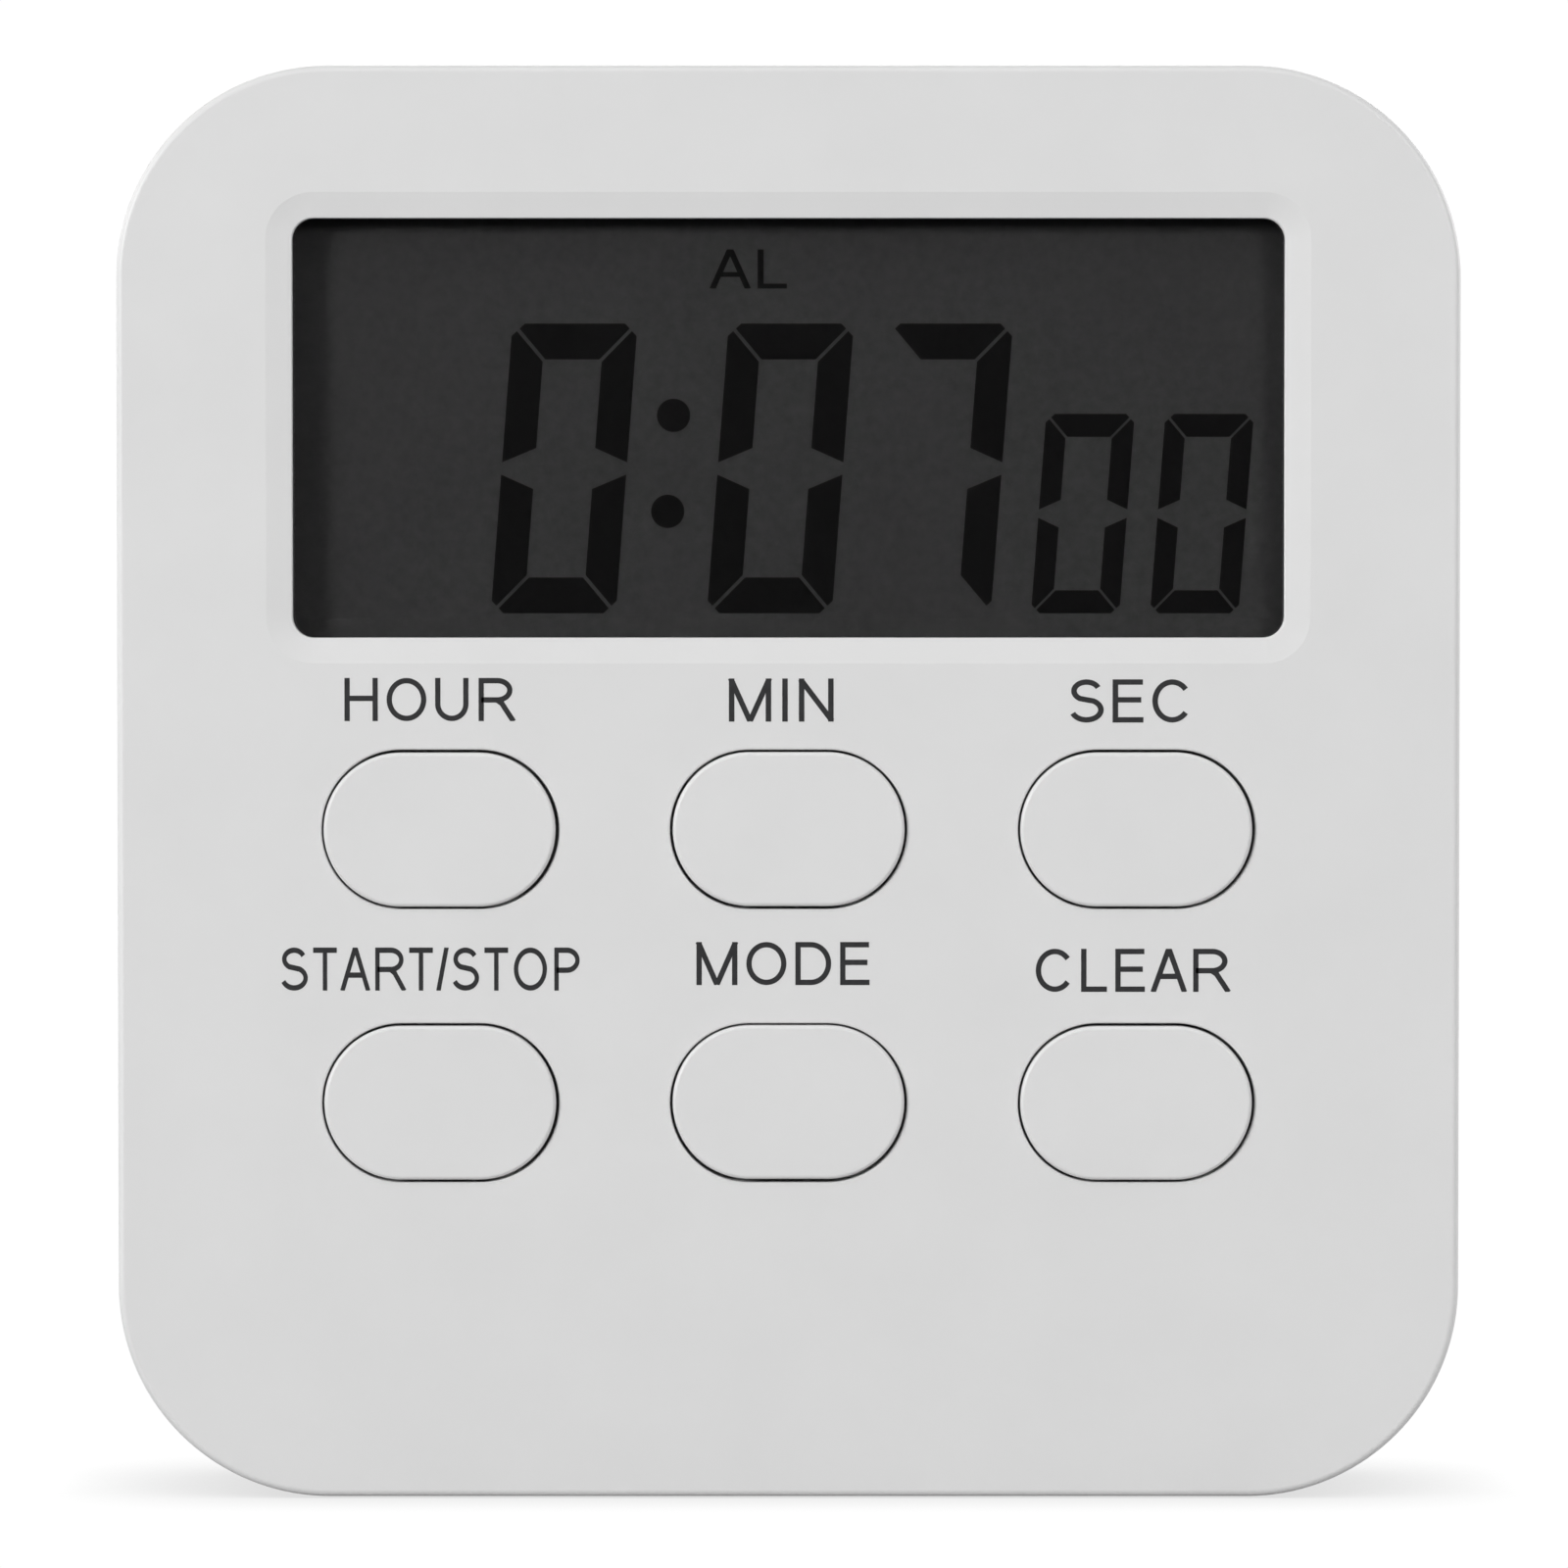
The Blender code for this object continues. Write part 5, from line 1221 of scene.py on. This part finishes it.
def ribbon(points, thickness):
    """A plate of this thickness along a line, mitred at its corners. It is a ring if its ends meet."""
    line = [Vector(p) for p in points]
    line = [p for p, after in zip(line, line[1:]) if (after - p).length > 1e-6] + [line[-1]]
    closed = (line[0] - line[-1]).length < 1e-6
    if closed:
        line.pop()
    sides = []
    for i, at in enumerate(line):
        before = line[i - 1] if closed or i else at
        after = line[(i + 1) % len(line)] if closed or i < len(line) - 1 else at
        inward = (at - before).normalized() if before != at else (after - at).normalized()
        onward = (after - at).normalized() if after != at else inward
        across = (inward + onward).normalized().orthogonal()
        reach = thickness / 2 / max(0.4, across.dot(onward.orthogonal()))
        sides.append((at + across * reach, at - across * reach))
    mesh = bmesh.new()
    rows = [[mesh.verts.new((side.x, depth, side.y)) for side in pair for depth in (0, 1)] for pair in sides]
    pairs = list(zip(rows, rows[1:])) + ([(rows[-1], rows[0])] if closed else [])
    for row, after in pairs:
        for i, j in ((0, 1), (1, 3), (3, 2), (2, 0)):
            mesh.faces.new((row[i], row[j], after[j], after[i]))
    if not closed:
        for row in (rows[0], rows[-1]):
            mesh.faces.new((row[0], row[1], row[3], row[2]))
    return mesh_from("stroke", mesh)


def words(name, text, centre, width, height, stroke, front):
    """Capitals as a thin mesh that faces -Y, fitted to this width and height, with strokes of this width."""
    weight = stroke / height
    at, strokes = 0, []
    for letter in text:
        wide, left, right, lines = LETTERS[letter]
        at += left
        for line in lines:
            points = [(at + weight / 2 + u * (wide - weight), weight / 2 + v * (1 - weight)) for u, v in line]
            strokes.append(ribbon(points, weight))
        at += wide + right
    data = combine(strokes[0], "UNION", strokes[1:])
    data = combine(data, "INTERSECT", [block(name, (-1, -1, 0), (at + 1, 2, 1))])
    places = [vertex.co.x for vertex in data.vertices]
    low, high = min(places), max(places)
    for vertex in data.vertices:
        u, depth, v = vertex.co
        vertex.co = (centre[0] + ((u - low) / (high - low) - 0.5) * width, front + depth * INK_T,
                     centre[1] + (v - 0.5) * height)
    return data


def make_display():
    low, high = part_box("lcd_front_polariser")
    outline = rounded_box(high.x - low.x, high.z - low.z, 0.0002, 4, (0, (low.z + high.z) / 2))
    piece("display_film", prism("display_film", outline, low.y, high.y), FILM, "polariser_film",
          "lcd_front_polariser", crisp=SHELL_CRISP)
    front, shapes = low.y - 2 * INK_T, []
    for digits, shape in ((BIG_DIGITS, BIG_DIGIT), (SMALL_DIGITS, SMALL_DIGIT)):
        for figure, x in digits:
            shapes += digit(figure, shape, x, WINDOW_Z + DIGIT_FOOT)
    shapes += [circle(COLON_R, ROUND_STEPS, (x, WINDOW_Z + z)) for x, z in COLON]
    lit = flat_shapes("display_digits", shapes, front, low.y - INK_T)
    piece("display_digits", lit, SEGMENT, "polariser_film", crisp=None)
    text, x, z, width, height = ALARM_MARK
    mark = words("display_mark", text, (x, WINDOW_Z + z), width, height, MARK_STROKE, front)
    piece("display_mark", mark, SEGMENT, "polariser_film", crisp=None)


def make_legends():
    for key, (text, width, shift, rise) in LEGENDS.items():
        centre = centre_of(f"{key}_button")
        data = words(f"legend_{key}", text, (centre.x + shift, centre.z + rise), width, LEGEND_HEIGHT,
                     LEGEND_STROKE, FRONT - INK_T)
        piece(f"legend_{key}", data, INK, "black_insulation", crisp=None)


# ---------------------------------------------------------------- studio
def make_floor():
    mesh = bmesh.new()
    bmesh.ops.create_grid(mesh, x_segments=1, y_segments=1, size=FLOOR_REACH)
    data = bpy.data.meshes.new("floor")
    mesh.to_mesh(data)
    mesh.free()
    data.materials.append(floor_paper())
    floor = add_object("floor", data)
    floor.location.z = -FLOOR_DROP


def floor_paper():
    """White paper that light and the camera go through, so a piece that slides out below it is still lit and
    seen. What comes through darkens with a painted contact shadow where the timer stands, and the rest
    bounces light up onto the timer."""
    paper = Material("floor_paper", (0.5, 0.5, 0.5), 0.9, Specular_IOR_Level=0.0)
    rays = paper.node("LightPath").outputs
    # painted contact shadow: ambient occlusion darkens the paper's colour close to the timer
    painted_contact_shadow = paper.node("AmbientOcclusion", {"Distance": CONTACT_REACH}, samples=8).outputs["AO"]
    fibre = paper.spread(paper.noise(1500, 3), 0.985, 1.0)
    tint = paper.maths("MULTIPLY", paper.spread(painted_contact_shadow, 0.70, 1.0), fibre)
    paper.see_through(paper.maths("MAXIMUM", rays["Is Camera Ray"], rays["Is Shadow Ray"]), tint)

    # the bounce fades with distance, and the floor is painted dark to glossy rays so that the window stays
    # dark and shows no reflection of it
    bounce = paper.spread(paper.distance(paper.place), *BOUNCE, *BOUNCE_FADE)
    dark_to_glossy_rays = paper.spread(rays["Is Glossy Ray"], 1.0, 0.08)
    paper.set(Base_Color=paper.maths("MULTIPLY", bounce, dark_to_glossy_rays))
    return paper.made


def lamp(name, place, size, power):
    light = bpy.data.lights.new(name, "AREA")
    light.shape = "RECTANGLE"
    light.size, light.size_y = size
    light.energy = power
    made = add_object(name, light)
    made.location = place
    made.rotation_euler = (Vector(LAMP_AIM) - Vector(place)).to_track_quat("-Z", "Y").to_euler()


def make_world():
    """White for the camera, and softly graded for light: bright above and at the sides, dark in front."""
    world = bpy.data.worlds.new("studio")
    bpy.context.scene.world = world
    world.use_nodes = True
    tree = world.node_tree
    tree.nodes.clear()
    # the generated coordinate's y is the direction: -1 is towards the camera, where the studio is dark
    direction = new_node(tree, "SeparateXYZ", {0: new_node(tree, "TexCoord").outputs["Generated"]})
    towards = new_node(tree, "MapRange", {"Value": direction.outputs["Y"], "From Min": -1})
    grade = ramp(tree, towards.outputs["Result"], (0.02, 0.02, 0.02), (1, 1, 1), 0.02, 0.30)
    lit = new_node(tree, "Background", {"Color": grade, "Strength": SKY_LIGHT})
    seen = new_node(tree, "Background", {"Color": (1, 1, 1, 1), "Strength": 1.02})
    camera_ray = new_node(tree, "LightPath").outputs["Is Camera Ray"]
    mix = new_node(tree, "MixShader", {0: camera_ray, 1: lit.outputs[0], 2: seen.outputs[0]})
    new_node(tree, "OutputWorld", {"Surface": mix.outputs[0]})


def make_camera():
    lens = bpy.data.cameras.new("camera")
    lens.lens = lens.sensor_width * CAMERA_DISTANCE / FRAME_WIDTH
    lens.clip_start = 0.01
    camera = add_object("camera", lens)
    away = Vector((0, -math.cos(CAMERA_ELEVATION), math.sin(CAMERA_ELEVATION)))
    camera.location = Vector((AIM_X, FRONT, AIM_Z)) + CAMERA_DISTANCE * away
    camera.rotation_euler = (-away).to_track_quat("-Z", "Y").to_euler()
    bpy.context.scene.camera = camera


def make_studio():
    bpy.context.scene.view_settings.view_transform = "Standard"
    make_world()
    make_floor()
    make_camera()
    for name, place, size, power in LAMPS:
        lamp(name, place, size, power)


make_front_case()
make_rear_case()
for key in KEYS:
    make_key(key)
make_lens()
make_battery_door()
make_stand()
make_magnets()
make_screws()
make_cell()
make_contacts()
make_spring()
make_keypad()
make_pills()
make_board()
make_round_components()
make_chip_components()
make_sounder()
make_wires()
finish_cad_nodes()
make_display()
make_legends()
make_studio()
